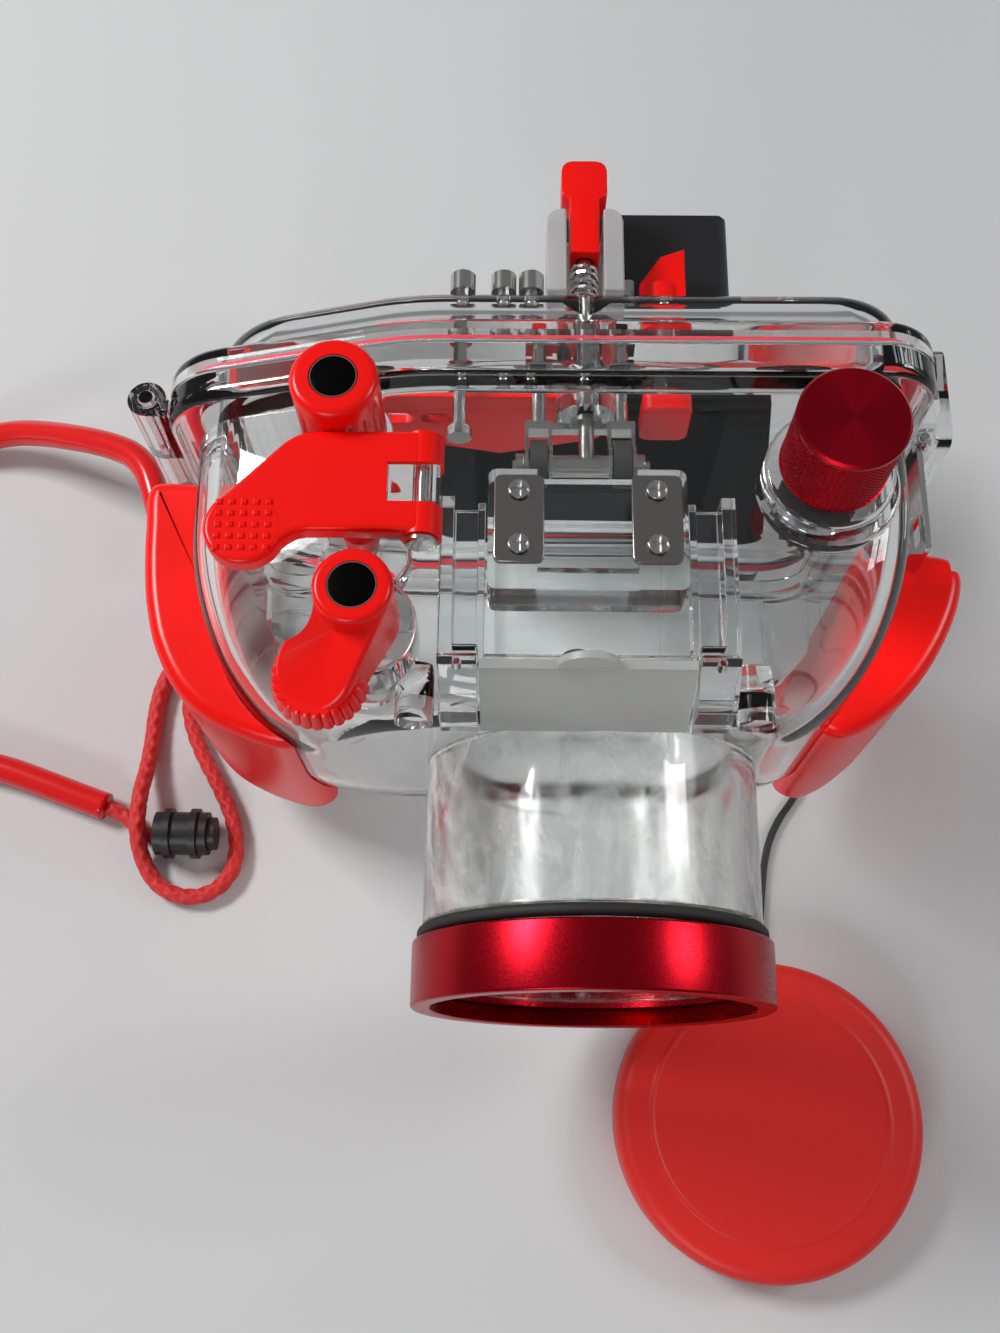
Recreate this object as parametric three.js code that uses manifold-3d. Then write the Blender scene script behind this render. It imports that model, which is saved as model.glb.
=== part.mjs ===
// Underwater camera housing: a clear two-part case with a round lens port, red controls and grips.
// Millimetres. The lens looks along -Y, the back door opens at +Y, the latch is on the +X side,
// +Z is up, and the base pad's face lies at Z = 0 below the lens axis.

import * as THREE from 'three';
import { mergeVertices } from 'three/addons/utils/BufferGeometryUtils.js';
import Module from 'manifold-3d';

const wasm = await Module();
wasm.setup();

// Clearances and steps shared by all pieces
const gap = 0.3;
const overrun = 2;
const weld = 0.001;
const arcSteps = 4;
const sides = { pin: 10, bar: 14, boss: 20, knob: 32, port: 44 };

// Front case: a rounded box whose nose is drawn in around the lens port
const lensHeight = 60;
const shell = {
  left: -83.5, right: 61, bottom: 4, top: 110.5, knee: -38, drop: 13, wall: 4, bottomRadius: 15,
  topRadius: 10, shoulderRadius: 16, kneeRadius: 60,
};
const nose = {
  back: -10, front: -54.5, left: 29, right: 26, top: 17, bottom: 36, rounding: 9, kneeShare: 0.7,
  steps: 6,
};
const flange = {
  side: 5.5, top: 9, front: 8, back: 14, sill: 9.4, bottomRadius: 16, topRadius: 13, shoulderRadius: 17,
};

// Back door
const door = {
  thickness: 5.7, back: 35.5, leftInset: 3.5, rightStep: 1, wall: 4, edge: 10, steps: 4, post: 2.6,
};
const seal = { inset: 4.7, radius: 1.5, depth: 3.6, width: 3.8, sides: 8 };

// Lens port: the steps are taken off the tube's radius
const tube = {
  radius: 35, wall: 4, spigotStep: 2.4, spigotLength: 2.6, shoulder: -88.6, neckStep: 1.8, front: -96.8,
};
const tubeBore = tube.radius - tube.wall;
const tubeSpigot = tube.radius - tube.spigotStep;
const tubeNeck = tube.radius - tube.neckStep;
const ring = {
  proud: 2, back: -91.9, front: -105, boreSlack: 0.4, lip: 3.6, lipBack: -100, lipThickness: 1.2,
  threadStep: 0.1, threadDepth: 0.5, threadTurns: 2, chamfer: 0.5, keyHole: 1.1, keyHoles: 4,
  keyHoleInset: 2.4,
};
const ringRadius = tube.radius + ring.proud;
const ringBore = tubeNeck + ring.boreSlack;
const band = { radius: 1.3, sides: 6 };
const glassThickness = 2.6;

// Accessory shoe on the top, in line with the flash
const flashX = -3.2;
const shoe = {
  half: 18.4, front: -36.8, back: -12.6, skirt: 105, base: 114, top: 118, slotHalf: 9.3,
  slotFront: -32.6, corner: 1.6,
};
const plate = {
  inner: 8, width: 9.3, front: -32.2, back: -14.5, thickness: 1.3, corner: 1.4, screwInset: 3.4,
};
const screw = { head: 2, headHeight: 0.6, shank: 0.9, length: 4.4, slot: 0.5, slotDepth: 0.35 };

// Flash diffuser: two arms along the top and a frosted panel in front of the nose
const diffuser = {
  back: -18.5, front: -50, top: 118.4, bottom: 111, outer: 27.1, wall: 2.6, inner: 18.8, innerWall: 1.4,
  innerTop: 115.6, floor: 1.6, blockFront: -57.6, blockHalf: 3.6, blockBottom: 98, blockShoulder: 109.9,
  bar: 2.4, barTop: 113.4, panelBack: -50.6, panelTop: 109.6, lean: 0.69, panelDrop: 17,
  panelThickness: 2.2, tab: 6, tubeClearance: 2.2, pin: 0.8, pinReach: 1,
};
const stud = { offset: 32, height: 101, radius: 3.7, front: -57, back: -46 };

// Mode dial, stacked on its boss; depths and insets run down from its top
const dial = {
  x: -49.4, y: -2.1, lift: 0.6, height: 20.9, collarHeight: 5.9, radius: 8.1, edge: 1.4, flutes: 16,
  fluteDepth: 0.6, boss: 9.2, bossRise: 0.9, capRadius: 4.1, capThickness: 1, shaft: 2, shaftInset: 6.9,
  wheel: 7, wheelDrop: 10.5, wheelThickness: 4,
};
const dialBossTop = shell.top + dial.bossRise;
const dialBottom = dialBossTop + dial.lift;
const dialTop = dialBottom + dial.height;
const dialShaftTop = dialTop - dial.shaftInset;

// Shutter lever with its tongue, pin and plunger
const lever = {
  pivotX: -33.2, pivotRise: 13.8, barrel: 3.7, front: -32.2, back: -11.2, thickness: 4, left: -56,
  corner: 2.4, neck: 5, padX: -64.8, padY: -28.5, padRadius: 7.2, padLift: 0.6, padPitch: 2.1,
  padStud: 0.75, padRows: 5, slotLeft: -40.4,
};
const leverPivotZ = shell.top + lever.pivotRise;
const leverTop = leverPivotZ + lever.barrel;
const tongue = {
  front: -24.1, back: -16.9, right: -31, upperRight: -30, stepDrop: 7.8, topDrop: 0.6, corner: 2.4,
};
const leverPin = { radius: 1.5, head: 2.7, headHeight: 0.9, slot: 0.6, slotDepth: 0.4 };
const plunger = {
  x: -44.3, y: -27.4, head: 3.3, headHeight: 4.8, chamfer: 1, rod: 1.7, drop: 20.5, boss: 8.4,
  bossRise: 2.7, foot: 3, footHeight: 1.6,
};
const plungerBossTop = shell.top + plunger.bossRise;
const plungerHeadTop = leverTop - lever.thickness - gap;
const plungerHeadBottom = plungerHeadTop - plunger.headHeight;
const plungerBottom = shell.top - plunger.drop;

// Zoom lever at the front: a hub, an arm that slopes down from it, and a ribbed foot
const rocker = {
  x: -44.3, y: -41.9, lift: 0.7, height: 17.7, hub: 7, edge: 1.2, boss: 10, bossRise: 2.5,
  bossDrop: 22.5, footX: -51.1, footY: -53.8, foot: 8.1, footHeight: 5.3, flare: 0.8, ribs: 26,
  ribDepth: 0.7, armDrop: 0.4, armSlope: 0.68, armInset: 0.8, shaft: 2, shaftInset: 5.4,
  shaftDrop: 20.5, arm: 7, armHalf: 1.8, armThickness: 3,
};
const rockerBossTop = shell.top + rocker.bossRise;
const rockerBottom = rockerBossTop + rocker.lift;
const rockerTop = rockerBottom + rocker.height;
const rockerShaftTop = rockerTop - rocker.shaftInset;
const rockerShaftBottom = shell.top - rocker.shaftDrop;

// Zoom knob at the right, over its washer
const knob = {
  x: 42.7, y: -10.8, lift: 0.5, height: 17.6, radius: 10.2, edge: 0.8, ridges: 36, ridgeDepth: 0.4,
  bossBase: 14.6, boss: 12.4, bossRise: 5.4, washer: 9.4, washerThickness: 0.6, shaft: 2.5,
  shaftInset: 4.9, gear: 8, gearDrop: 12.5, gearThickness: 4, gearTeeth: 20, toothDepth: 0.9,
};
const knobBossTop = shell.top + knob.bossRise;
const washerTop = knobBossTop + gap + knob.washerThickness;
const knobBottom = washerTop + knob.lift;
const knobTop = knobBottom + knob.height;
const knobShaftTop = knobTop - knob.shaftInset;
const gearTop = shell.top - knob.gearDrop;

// Hinge on the left, pin along Z midway between the flanges
const hinge = {
  offset: 4.3, radius: 4, pin: 1.5, bottom: 42, top: 97, head: 2.6, headHeight: 1.2, knuckles: 3,
};

// Grips: outer contour in plan, then the inner side, which the case cuts to its own shape
const grip = { bottom: 16, top: 74, edge: 4 };
const leftGrip = [
  [-98, 6], [-98, -4], [-97, -15], [-95.8, -23.3], [-93.6, -31], [-89.2, -40], [-83.5, -46],
  [-76.5, -49.8], [-69.5, -52.4], [-62.4, -53],
  [-59, -49], [-63, -42.5], [-68, -36], [-74, -26], [-79, -15], [-80, 0], [-84, 6],
];
const rightGrip = [
  [58, -7.4], [58, -16], [54, -28], [48.5, -38], [46.4, -44.5], [50.2, -49.6], [56.4, -48.2],
  [61.5, -44.8], [66.6, -40.2],
  [72.2, -33.2], [76.8, -25.2], [79.8, -17.4], [79.4, -11.4], [74, -7.4],
];

// Strap lug on the flange, cord lug on the left foot
const strapLug = { reach: 9.4, bottom: 24, top: 34 };
const cordLug = { left: -84, bottom: 0.4, top: 5.4, front: -8.4, back: 4.4 };

// Controls on the back
const controlHeight = 100;
const backButtons = [
  { name: 'rear_button_1', x: -28, tipFront: 3, tip: 2.6 },
  { name: 'rear_button_2', x: -19.4, tipFront: 23, tip: 2 },
  { name: 'rear_button_3', x: -13.6, tipFront: 25, tip: 2 },
];
const button = {
  head: 2.7, headFront: 38.2, headBack: 43, edge: 0.6, rod: 1.4, boss: 2.8, bossDepth: 4, tipLength: 2,
};
const backPin = {
  x: 7.8, z: 90.2, radius: 1.4, front: 28, back: 48, collar: 1.8, collarFront: 38, collarBack: 39.5,
};

// Push control: shaft in a long gland, paddle in a guard, and a return spring
const pusher = {
  x: -2.4, rod: 1.6, dome: 6.1, domeFront: 7.4, rodBack: 52, clipRadius: 3.2, clipFront: 5.9,
  clipBack: 6.9, stemHalf: 3.1, stemFront: 46, headBack: 69.4, headHalf: 4.9,
  corner: 2.4, below: 3.4, above: 4, travel: 3,
};
const guard = { half: 8.1, slotHalf: 3.9, back: 56.2, below: 9.4, above: 5.2, floorDrop: 6.4, corner: 3 };
const returnCoil = { radius: 2.7, wire: 0.45, turns: 5, back: 45.6 };
const leverCoil = { radius: 2.6, wire: 0.4, turns: 3 };
const coilSteps = 8;
const coilSides = 5;

// Roller carriage on the push rod
const axle = { y: -2.9, drop: 0.6, radius: 1.1, left: -17.2, right: 10.2, nut: 2.3, nutLength: 1.8 };
const axleZ = controlHeight - axle.drop;
const roller = { radius: 5.2, thickness: 3.5, left: -12, right: 4.6 };
const yoke = {
  cheek: 0.9, front: -5.4, back: 4.8, bridgeFront: 3.4, below: 9.6, above: 2, corner: 2.3, guide: 1.3,
  guideBack: 13.4,
};
const yokeBottom = controlHeight - yoke.below;
const yokeTop = controlHeight + yoke.above;

// Flag lever through the door
const flag = {
  x: 14.2, z: 95, rod: 1.6, hub: 3.6, hubFront: 38, hubBack: 43, root: 40, left: 9.6, right: 19.4,
  tip: 52, half: 2, blockHalf: 5, blockBottom: 87.6, blockTop: 101, blockFront: 9.6, blockBack: 13.8,
  corner: 2,
};

// Monitor hood, inner backing and panel
const hood = { left: -9.4, right: 30.6, bottom: 50, top: 88, back: 68, wall: 2, corner: 2.6 };
const backing = {
  left: -31, right: 34, bottom: 24, top: 91.6, front: 17.4, thickness: 2.4, frame: 5, frameBottom: 18,
  corner: 3,
};
const panel = {
  left: -44, right: 1.6, bottom: 79, top: 96, front: 14.9, thickness: 2.1, pointX: -20, pointZ: 72,
  corner: 2, ovalX: -33.6, ovalPitch: 7.9, ovalZ: 87, ovalHalf: 1.2, ovalRadius: 2,
};

// Latch on the right: a clear lever on the door and a steel hook over the catch on the case
const latch = {
  pivotX: 68.5, pivotY: 28, knuckle: 2.3, pin: 1.1, inner: 71.2, outer: 74.6, front: 8.2, back: 31.5,
  bottom: 56, top: 92, lugBottom: 66, lugTop: 82, corner: 3, hookX: 69, hookY: 10, hookKnuckle: 1.9,
  hookPin: 0.8,
};
const hook = {
  inner: 67, thickness: 1.2, front: -15.6, back: 7.4, bottom: 76.5, top: 91, tabBottom: 79.4,
  tabTop: 88.1, claw: 64.4, windowFront: -12.4, windowBack: -7, windowInset: 3.4, corner: 1.6,
  rivet: 1.5, rivetY: -3, rivetHeight: 0.6,
};
const latchCatch = { front: -13.8, back: -3.4, bottom: 79.7, top: 87.8, frontReach: 64.1, backReach: 65.7 };

// Base: a centre pad with the tripod bush, and two feet
const pad = {
  half: 22, front: -32, back: 13, corner: 4, rise: 7.6, bush: 5, bushBore: 3.1, bushY: -11, bushTop: 6,
};
const foot = { half: 6, front: -30, back: 12, leftX: -60, rightX: 44 };

// Lens cap lying in front of the port
const cap = {
  x: 43.6, y: -123.6, radius: 38.4, bore: 37.2, height: 12, roof: 2.4, shoulder: 4, ridge: 30.8,
  ridgeWidth: 1.4, ridgeHeight: 0.8,
};

// Strap, cord and tether, with the points they pass through, chosen by hand
const strap = {
  radius: 3.5, cord: 2.1, sides: 8, lockRadius: 6.4, lockHalf: 6.6, lockX: -99.5, lockY: -57,
  lockRib: 0.9, lockButton: 4.2,
};
const tether = { radius: 0.9, sides: 8 };
const strapRoute = [
  [-98.8, 11, 29], [-101.5, 11.2, 29], [-104.6, 14.6, 29.2], [-106.8, 20, 29.6], [-109, 26.6, 30],
  [-111.8, 33, 29.6], [-116, 38, 28.2], [-121.4, 41.4, 26.2], [-128.2, 44.6, 23.6], [-136.4, 48, 19.8],
  [-145, 51.4, 15.4], [-154, 54, 11], [-163, 54.4, 7.6],
  [-172, 52.6, 5.2], [-181, 47.6, 4], [-189, 39.6, 3.6], [-195, 29, 3.6], [-198, 16, 3.6], [-198, 2, 3.6],
  [-194.6, -11, 3.6], [-187.6, -22, 3.6], [-178, -30, 3.6], [-167, -35, 3.6], [-156, -38, 3.6],
  [-147, -40.2, 3.6],
  [-137, -43.6, 3.6], [-128, -46.9, 3.6], [-120.4, -49.6, 3.6],
];
const leadRoute = [
  [-120, -49.8, 3.6], [-117, -51, 3], [-113.4, -53.4, 2.6], [-111, -55.8, 2.7], [-108.9, -56.9, 3.2],
  [-106.5, -57, 3.4],
];
const loopRoute = [
  [-84.3, 1.2, 2.6], [-89, 1.2, 2.5], [-95, -0.2, 2.4], [-101, -4, 2.4], [-106, -9.6, 2.4],
  [-109.2, -16.4, 2.4],
  [-110.4, -24, 2.4], [-110.6, -32, 2.6], [-110.8, -40, 4.4], [-111, -46, 7], [-111, -52, 8],
  [-110.8, -57.6, 7],
  [-109.4, -63.6, 4], [-106.4, -68.4, 2.4], [-101.8, -71.4, 2.4], [-96, -72.2, 2.4], [-90.6, -70, 2.4],
  [-87.2, -65.2, 2.4], [-86.6, -59, 2.4], [-88.4, -51.4, 2.4], [-92.6, -43, 2.4], [-97.4, -34.6, 2.4],
  [-100.6, -27, 2.4], [-101.8, -20, 2.4], [-100.4, -13.6, 2.4], [-96.4, -8.6, 2.4], [-90.6, -5.8, 2.5],
  [-84.3, -5.2, 2.6],
];
const tetherRoute = [
  [50.3, -16, 2], [52.6, -16.2, 1.9], [55.4, -19, 1.4], [57.6, -26, 1], [58.6, -34, 1], [57.5, -41.4, 1],
  [54.8, -46, 1], [51.9, -50, 1],
  [49, -55.6, 1], [47.2, -62, 1], [46.2, -69, 1], [45.4, -76, 1.1], [44.6, -81, 1.6], [43.8, -84.9, 2.6],
];
const cordSteps = { strap: 56, lead: 6, loop: 52, tether: 24 };

// Colours
const paint = {
  clear: { color: 0xdfe3e2, roughness: 0.06, metalness: 0 },
  frosted: { color: 0xe6e6dc, roughness: 0.55, metalness: 0 },
  milky: { color: 0xd9d3d0, roughness: 0.4, metalness: 0 },
  red: { color: 0xe5160c, roughness: 0.28, metalness: 0 },
  softRed: { color: 0xd9241c, roughness: 0.5, metalness: 0 },
  anodised: { color: 0xb0101a, roughness: 0.3, metalness: 0.85 },
  silicone: { color: 0xd8303c, roughness: 0.45, metalness: 0 },
  nickel: { color: 0xb9b2a6, roughness: 0.22, metalness: 1 },
  steel: { color: 0xc4c4c0, roughness: 0.25, metalness: 1 },
  black: { color: 0x151515, roughness: 0.55, metalness: 0 },
  rubber: { color: 0x1c1b1b, roughness: 0.8, metalness: 0 },
};

// Solids and booleans
function solidOf(geometry) {
  const bare = geometry.clone();
  for (const name of Object.keys(bare.attributes)) {
    if (name !== 'position') bare.deleteAttribute(name);
  }
  const merged = mergeVertices(bare, weld);
  const spots = merged.attributes.position;
  const corner = (i) => new THREE.Vector3().fromBufferAttribute(spots, i);
  const kept = [];
  let volume = 0;
  for (let i = 0; i < merged.index.count; i += 3) {
    const [a, b, c] = [merged.index.getX(i), merged.index.getX(i + 1), merged.index.getX(i + 2)];
    if (a === b || b === c || c === a) continue;
    volume += corner(a).dot(corner(b).cross(corner(c)));
    kept.push(a, b, c);
  }
  if (volume < 0) kept.reverse();
  const vertProperties = new Float32Array(spots.array);
  return new wasm.Manifold(new wasm.Mesh({ numProp: 3, vertProperties, triVerts: Uint32Array.from(kept) }));
}

function geometryOf(solid) {
  const mesh = solid.asOriginal().simplify(weld).getMesh();
  const geometry = new THREE.BufferGeometry();
  geometry.setAttribute('position', new THREE.BufferAttribute(mesh.vertProperties, 3));
  geometry.setIndex(new THREE.BufferAttribute(mesh.triVerts, 1));
  geometry.computeVertexNormals();
  return geometry;
}

const join = (...solids) => solids.reduce((whole, piece) => whole.add(piece));
const cut = (whole, ...tools) => tools.reduce((rest, tool) => rest.subtract(tool), whole);

function node(name, solid, finish) {
  const mesh = new THREE.Mesh(geometryOf(solid), new THREE.MeshStandardMaterial(finish));
  mesh.name = name;
  return mesh;
}

// Drawing helpers
const dot = (x, y) => new THREE.Vector2(x, y);
const dots = (pairs) => pairs.map(([x, y]) => dot(x, y));

// Extrudes an outline between two stations: plan is XY, front is XZ, side is YZ
function slab(points, plane, from, to, bevel = 0) {
  const geometry = new THREE.ExtrudeGeometry(new THREE.Shape(points), {
    depth: to - from - 2 * bevel,
    bevelEnabled: bevel > 0,
    bevelThickness: bevel,
    bevelSize: bevel,
    bevelOffset: -bevel,
    bevelSegments: 3,
  });
  geometry.translate(0, 0, bevel);
  const basis = {
    plan: [[1, 0, 0], [0, 1, 0], [0, 0, 1], [0, 0, from]],
    front: [[1, 0, 0], [0, 0, 1], [0, -1, 0], [0, to, 0]],
    side: [[0, 1, 0], [0, 0, 1], [1, 0, 0], [from, 0, 0]],
  }[plane].map((v) => new THREE.Vector3(...v));
  const matrix = new THREE.Matrix4().makeBasis(basis[0], basis[1], basis[2]).setPosition(basis[3]);
  return solidOf(geometry.applyMatrix4(matrix));
}

// A polygon with rounded corners, each given as x, y and r
function rounded(corners, steps = arcSteps) {
  const points = [];
  corners.forEach((corner, i) => {
    const before = corners[(i + corners.length - 1) % corners.length];
    const after = corners[(i + 1) % corners.length];
    const here = dot(corner.x, corner.y);
    if (corner.r <= 0) {
      points.push(here);
      return;
    }
    const u = dot(before.x, before.y).sub(here).normalize();
    const v = dot(after.x, after.y).sub(here).normalize();
    const half = Math.acos(THREE.MathUtils.clamp(u.dot(v), -1, 1)) / 2;
    const centre = here.clone().addScaledVector(u.clone().add(v).normalize(), corner.r / Math.sin(half));
    const start = here.clone().addScaledVector(u, corner.r / Math.tan(half)).sub(centre);
    const end = here.clone().addScaledVector(v, corner.r / Math.tan(half)).sub(centre);
    const sweep = Math.atan2(start.cross(end), start.dot(end));
    for (let k = 0; k <= steps; k += 1) {
      points.push(start.clone().rotateAround(dot(0, 0), (sweep * k) / steps).add(centre));
    }
  });
  return points;
}

function roundedBox(x0, x1, y0, y1, r, steps = 3) {
  return rounded([{ x: x0, y: y0, r }, { x: x1, y: y0, r }, { x: x1, y: y1, r }, { x: x0, y: y1, r }],
    steps);
}

function circle(x, y, radius, count) {
  return Array.from({ length: count }, (_, i) => {
    const angle = (i * 2 * Math.PI) / count;
    return dot(x + radius * Math.cos(angle), y + radius * Math.sin(angle));
  });
}

// A round outline whose rim goes in and out, for flutes, knurls and gear teeth
function toothed(x, y, radius, depth, teeth) {
  return Array.from({ length: 2 * teeth }, (_, i) => {
    const angle = (i * Math.PI) / teeth;
    const reach = radius - (i % 2) * depth;
    return dot(x + reach * Math.cos(angle), y + reach * Math.sin(angle));
  });
}

const block = (x0, x1, y0, y1, z0, z1) => (
  slab(dots([[x0, y0], [x1, y0], [x1, y1], [x0, y1]]), 'plan', z0, z1)
);
const barZ = (x, y, radius, z0, z1, count = sides.bar) => slab(circle(x, y, radius, count), 'plan', z0, z1);
const barY = (x, z, radius, y0, y1, count = sides.bar) => (
  slab(circle(x, z, radius, count), 'front', y0, y1)
);
const barX = (y, z, radius, x0, x1, count = sides.bar) => slab(circle(y, z, radius, count), 'side', x0, x1);

// Turns a profile of [radius, station] pairs about an axis through u and v
function turned(profile, axis, u, v, count) {
  const geometry = new THREE.LatheGeometry(dots(profile), count);
  if (axis === 'z') geometry.rotateX(Math.PI / 2).translate(u, v, 0);
  if (axis === 'y') geometry.translate(u, 0, v);
  return solidOf(geometry);
}

// A disc with a chamfered top edge
function chamfered(x, y, radius, edge, z0, z1, count) {
  return turned([[0, z0], [radius, z0], [radius, z1 - edge], [radius - edge, z1], [0, z1]], 'z', x, y,
    count);
}

function meshSolid(spots, faces) {
  const geometry = new THREE.BufferGeometry();
  geometry.setAttribute('position', new THREE.Float32BufferAttribute(spots, 3));
  geometry.setIndex(faces);
  return solidOf(geometry);
}

// A closed solid skinned over rings of equal length
function skinned(rings) {
  const spots = rings.flat().flatMap((spot) => spot.toArray());
  const faces = [];
  const count = rings[0].length;
  for (let i = 0; i + 1 < rings.length; i += 1) {
    for (let k = 0; k < count; k += 1) {
      const [a, b] = [i * count + k, i * count + ((k + 1) % count)];
      faces.push(a, b, b + count, a, b + count, a + count);
    }
  }
  for (const base of [0, (rings.length - 1) * count]) {
    const ringSpots = rings[base / count];
    const middle = ringSpots.reduce((sum, spot) => sum.add(spot), new THREE.Vector3()).divideScalar(count);
    const centre = spots.length / 3;
    spots.push(...middle.toArray());
    for (let k = 0; k < count; k += 1) {
      const [a, b] = [base + k, base + ((k + 1) % count)];
      faces.push(...(base === 0 ? [b, a, centre] : [a, b, centre]));
    }
  }
  return meshSolid(spots, faces);
}

const level = (points, z) => points.map((p) => new THREE.Vector3(p.x, p.y, z));
const onPlane = (points, y) => points.map((p) => new THREE.Vector3(p.x, y, p.y));

// A round cord that follows a closed outline in the front view
function hoop(outline, y, radius, count) {
  const spots = [];
  const faces = [];
  const n = outline.length;
  outline.forEach((point, i) => {
    const next = (i + 1) % n;
    const along = outline[next].clone().sub(outline[(i + n - 1) % n]).normalize();
    const outward = dot(along.y, -along.x);
    for (let k = 0; k < count; k += 1) {
      const angle = (k * 2 * Math.PI) / count;
      const spot = point.clone().addScaledVector(outward, radius * Math.cos(angle));
      spots.push(spot.x, y + radius * Math.sin(angle), spot.y);
      const turn = (k + 1) % count;
      faces.push(i * count + k, i * count + turn, next * count + turn);
      faces.push(i * count + k, next * count + turn, next * count + k);
    }
  });
  return meshSolid(spots, faces);
}

function swept(curve, radius, count, steps) {
  const section = new THREE.Shape(circle(0, 0, radius, count));
  return solidOf(new THREE.ExtrudeGeometry(section, { steps, extrudePath: curve, bevelEnabled: false }));
}

function cordAlong(route, radius, count, steps) {
  const curve = new THREE.CatmullRomCurve3(route.map((p) => new THREE.Vector3(...p)), false, 'centripetal');
  console.log(`cord ${curve.getLength().toFixed(0)} mm long, ${(2 * radius).toFixed(1)} mm thick`);
  return swept(curve, radius, count, steps);
}

// The path of a spring's wire about an axis through u and v
class Helix extends THREE.Curve {
  constructor(coil, axis, u, v, from, to) {
    super();
    Object.assign(this, { coil, axis, u, v, from, to });
  }

  getPoint(t) {
    const angle = t * this.coil.turns * 2 * Math.PI;
    const a = this.u + this.coil.radius * Math.cos(angle);
    const b = this.v + this.coil.radius * Math.sin(angle);
    const s = THREE.MathUtils.lerp(this.from, this.to, t);
    return this.axis === 'z' ? new THREE.Vector3(a, b, s) : new THREE.Vector3(a, s, b);
  }
}

function spring(coil, axis, u, v, from, to) {
  const curve = new Helix(coil, axis, u, v, from + coil.wire, to - coil.wire);
  const pitch = (to - from - 2 * coil.wire) / coil.turns;
  console.log(`spring gap between curls ${(pitch - 2 * coil.wire).toFixed(2)} mm`);
  return swept(curve, coil.wire, coilSides, coil.turns * coilSteps);
}

// The case outline in the front view, drawn in by an amount on each side
const slope = shell.drop / (shell.knee - shell.left);

function caseOutline(size, inset) {
  const left = size.left + inset.left;
  const right = size.right - inset.right;
  const top = size.top - inset.top;
  const bottom = size.bottom + inset.bottom;
  const knee = size.knee + (inset.knee ?? 0);
  return rounded([
    { x: left, y: bottom, r: size.bottomRadius + inset.rounding },
    { x: right, y: bottom, r: size.bottomRadius + inset.rounding },
    { x: right, y: top, r: size.topRadius + inset.rounding },
    { x: knee, y: top, r: size.kneeRadius },
    { x: left, y: top - slope * (knee - left), r: size.shoulderRadius + inset.rounding },
  ]);
}

const evenInset = (amount) => ({ left: amount, right: amount, top: amount, bottom: amount,
  rounding: -amount });
const mouthInset = { ...evenInset(shell.wall), bottom: flange.sill };

// The front case's skin or cavity: straight walls, then a quarter ellipse to the flat front
function frontBody(skin, back) {
  const rings = [onPlane(caseOutline(shell, evenInset(skin)), back)];
  for (let i = 0; i <= nose.steps; i += 1) {
    const angle = (i / nose.steps) * (Math.PI / 2);
    const share = 1 - Math.cos(angle);
    const outline = caseOutline(shell, {
      left: THREE.MathUtils.lerp(skin, nose.left, share),
      right: THREE.MathUtils.lerp(skin, nose.right, share),
      top: THREE.MathUtils.lerp(skin, nose.top, share),
      bottom: THREE.MathUtils.lerp(skin, nose.bottom, share),
      knee: nose.left * nose.kneeShare * share,
      rounding: nose.rounding * share - skin,
    });
    rings.push(onPlane(outline, nose.back + (nose.front + skin - nose.back) * Math.sin(angle)));
  }
  return skinned(rings);
}

// The flange stands proud of the case at the top and sides
const flangeSize = {
  ...shell,
  left: shell.left - flange.side,
  right: shell.right + flange.side,
  top: shell.top + flange.top,
  bottomRadius: flange.bottomRadius,
  topRadius: flange.topRadius,
  shoulderRadius: flange.shoulderRadius,
};

const doorFront = flange.back + gap;
const doorFlangeBack = doorFront + door.thickness;
const hingeX = flangeSize.left - hinge.offset;
const hingeY = flange.back + gap / 2;

// Alternate knuckles of the hinge, joined to one flange
function knuckles(first, y0, y1) {
  const pitch = (hinge.top - hinge.bottom) / hinge.knuckles;
  const solids = [];
  for (let i = first; i < hinge.knuckles; i += 2) {
    const low = hinge.bottom + i * pitch + gap / 2;
    const high = low + pitch - gap;
    solids.push(barZ(hingeX, hingeY, hinge.radius, low, high, sides.boss));
    solids.push(block(hingeX, flangeSize.left + gap, y0, y1, low, high));
  }
  return solids;
}

const hingeBore = () => barZ(hingeX, hingeY, hinge.pin + gap, hinge.bottom - overrun, hinge.top + overrun);

// The clear tongue that carries the shutter lever's pin
function tongueSolid() {
  const left = lever.slotLeft + 2 * gap;
  const low = shell.top - shell.drop;
  const top = leverTop - tongue.topDrop;
  const step = top - tongue.stepDrop;
  return slab(rounded([
    { x: left, y: low, r: 0 }, { x: tongue.right, y: low, r: 0 }, { x: tongue.right, y: step, r: 0 },
    { x: tongue.upperRight, y: step, r: 0 }, { x: tongue.upperRight, y: top, r: tongue.corner },
    { x: left, y: top, r: tongue.corner },
  ], 3), 'front', tongue.front, tongue.back);
}

function caseBosses() {
  const low = shell.top - shell.drop;
  const foundation = shell.top - shell.wall;
  const knobBoss = turned([
    [0, foundation], [knob.bossBase, foundation], [knob.bossBase, shell.top], [knob.boss, knobBossTop],
    [0, knobBossTop],
  ], 'z', knob.x, knob.y, sides.knob);
  const studs = [-1, 1].map((side) => (
    barY(flashX + side * stud.offset, stud.height, stud.radius, stud.front, stud.back, sides.boss)));
  return [
    knobBoss,
    barZ(dial.x, dial.y, dial.boss, low, dialBossTop, sides.boss),
    barZ(plunger.x, plunger.y, plunger.boss, low, plungerBossTop, sides.boss),
    barZ(rocker.x, rocker.y, rocker.boss, shell.top - rocker.bossDrop, rockerBossTop, sides.boss),
    barY(0, lensHeight, tube.radius, nose.front, nose.back, sides.port),
    ...studs,
  ];
}

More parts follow.
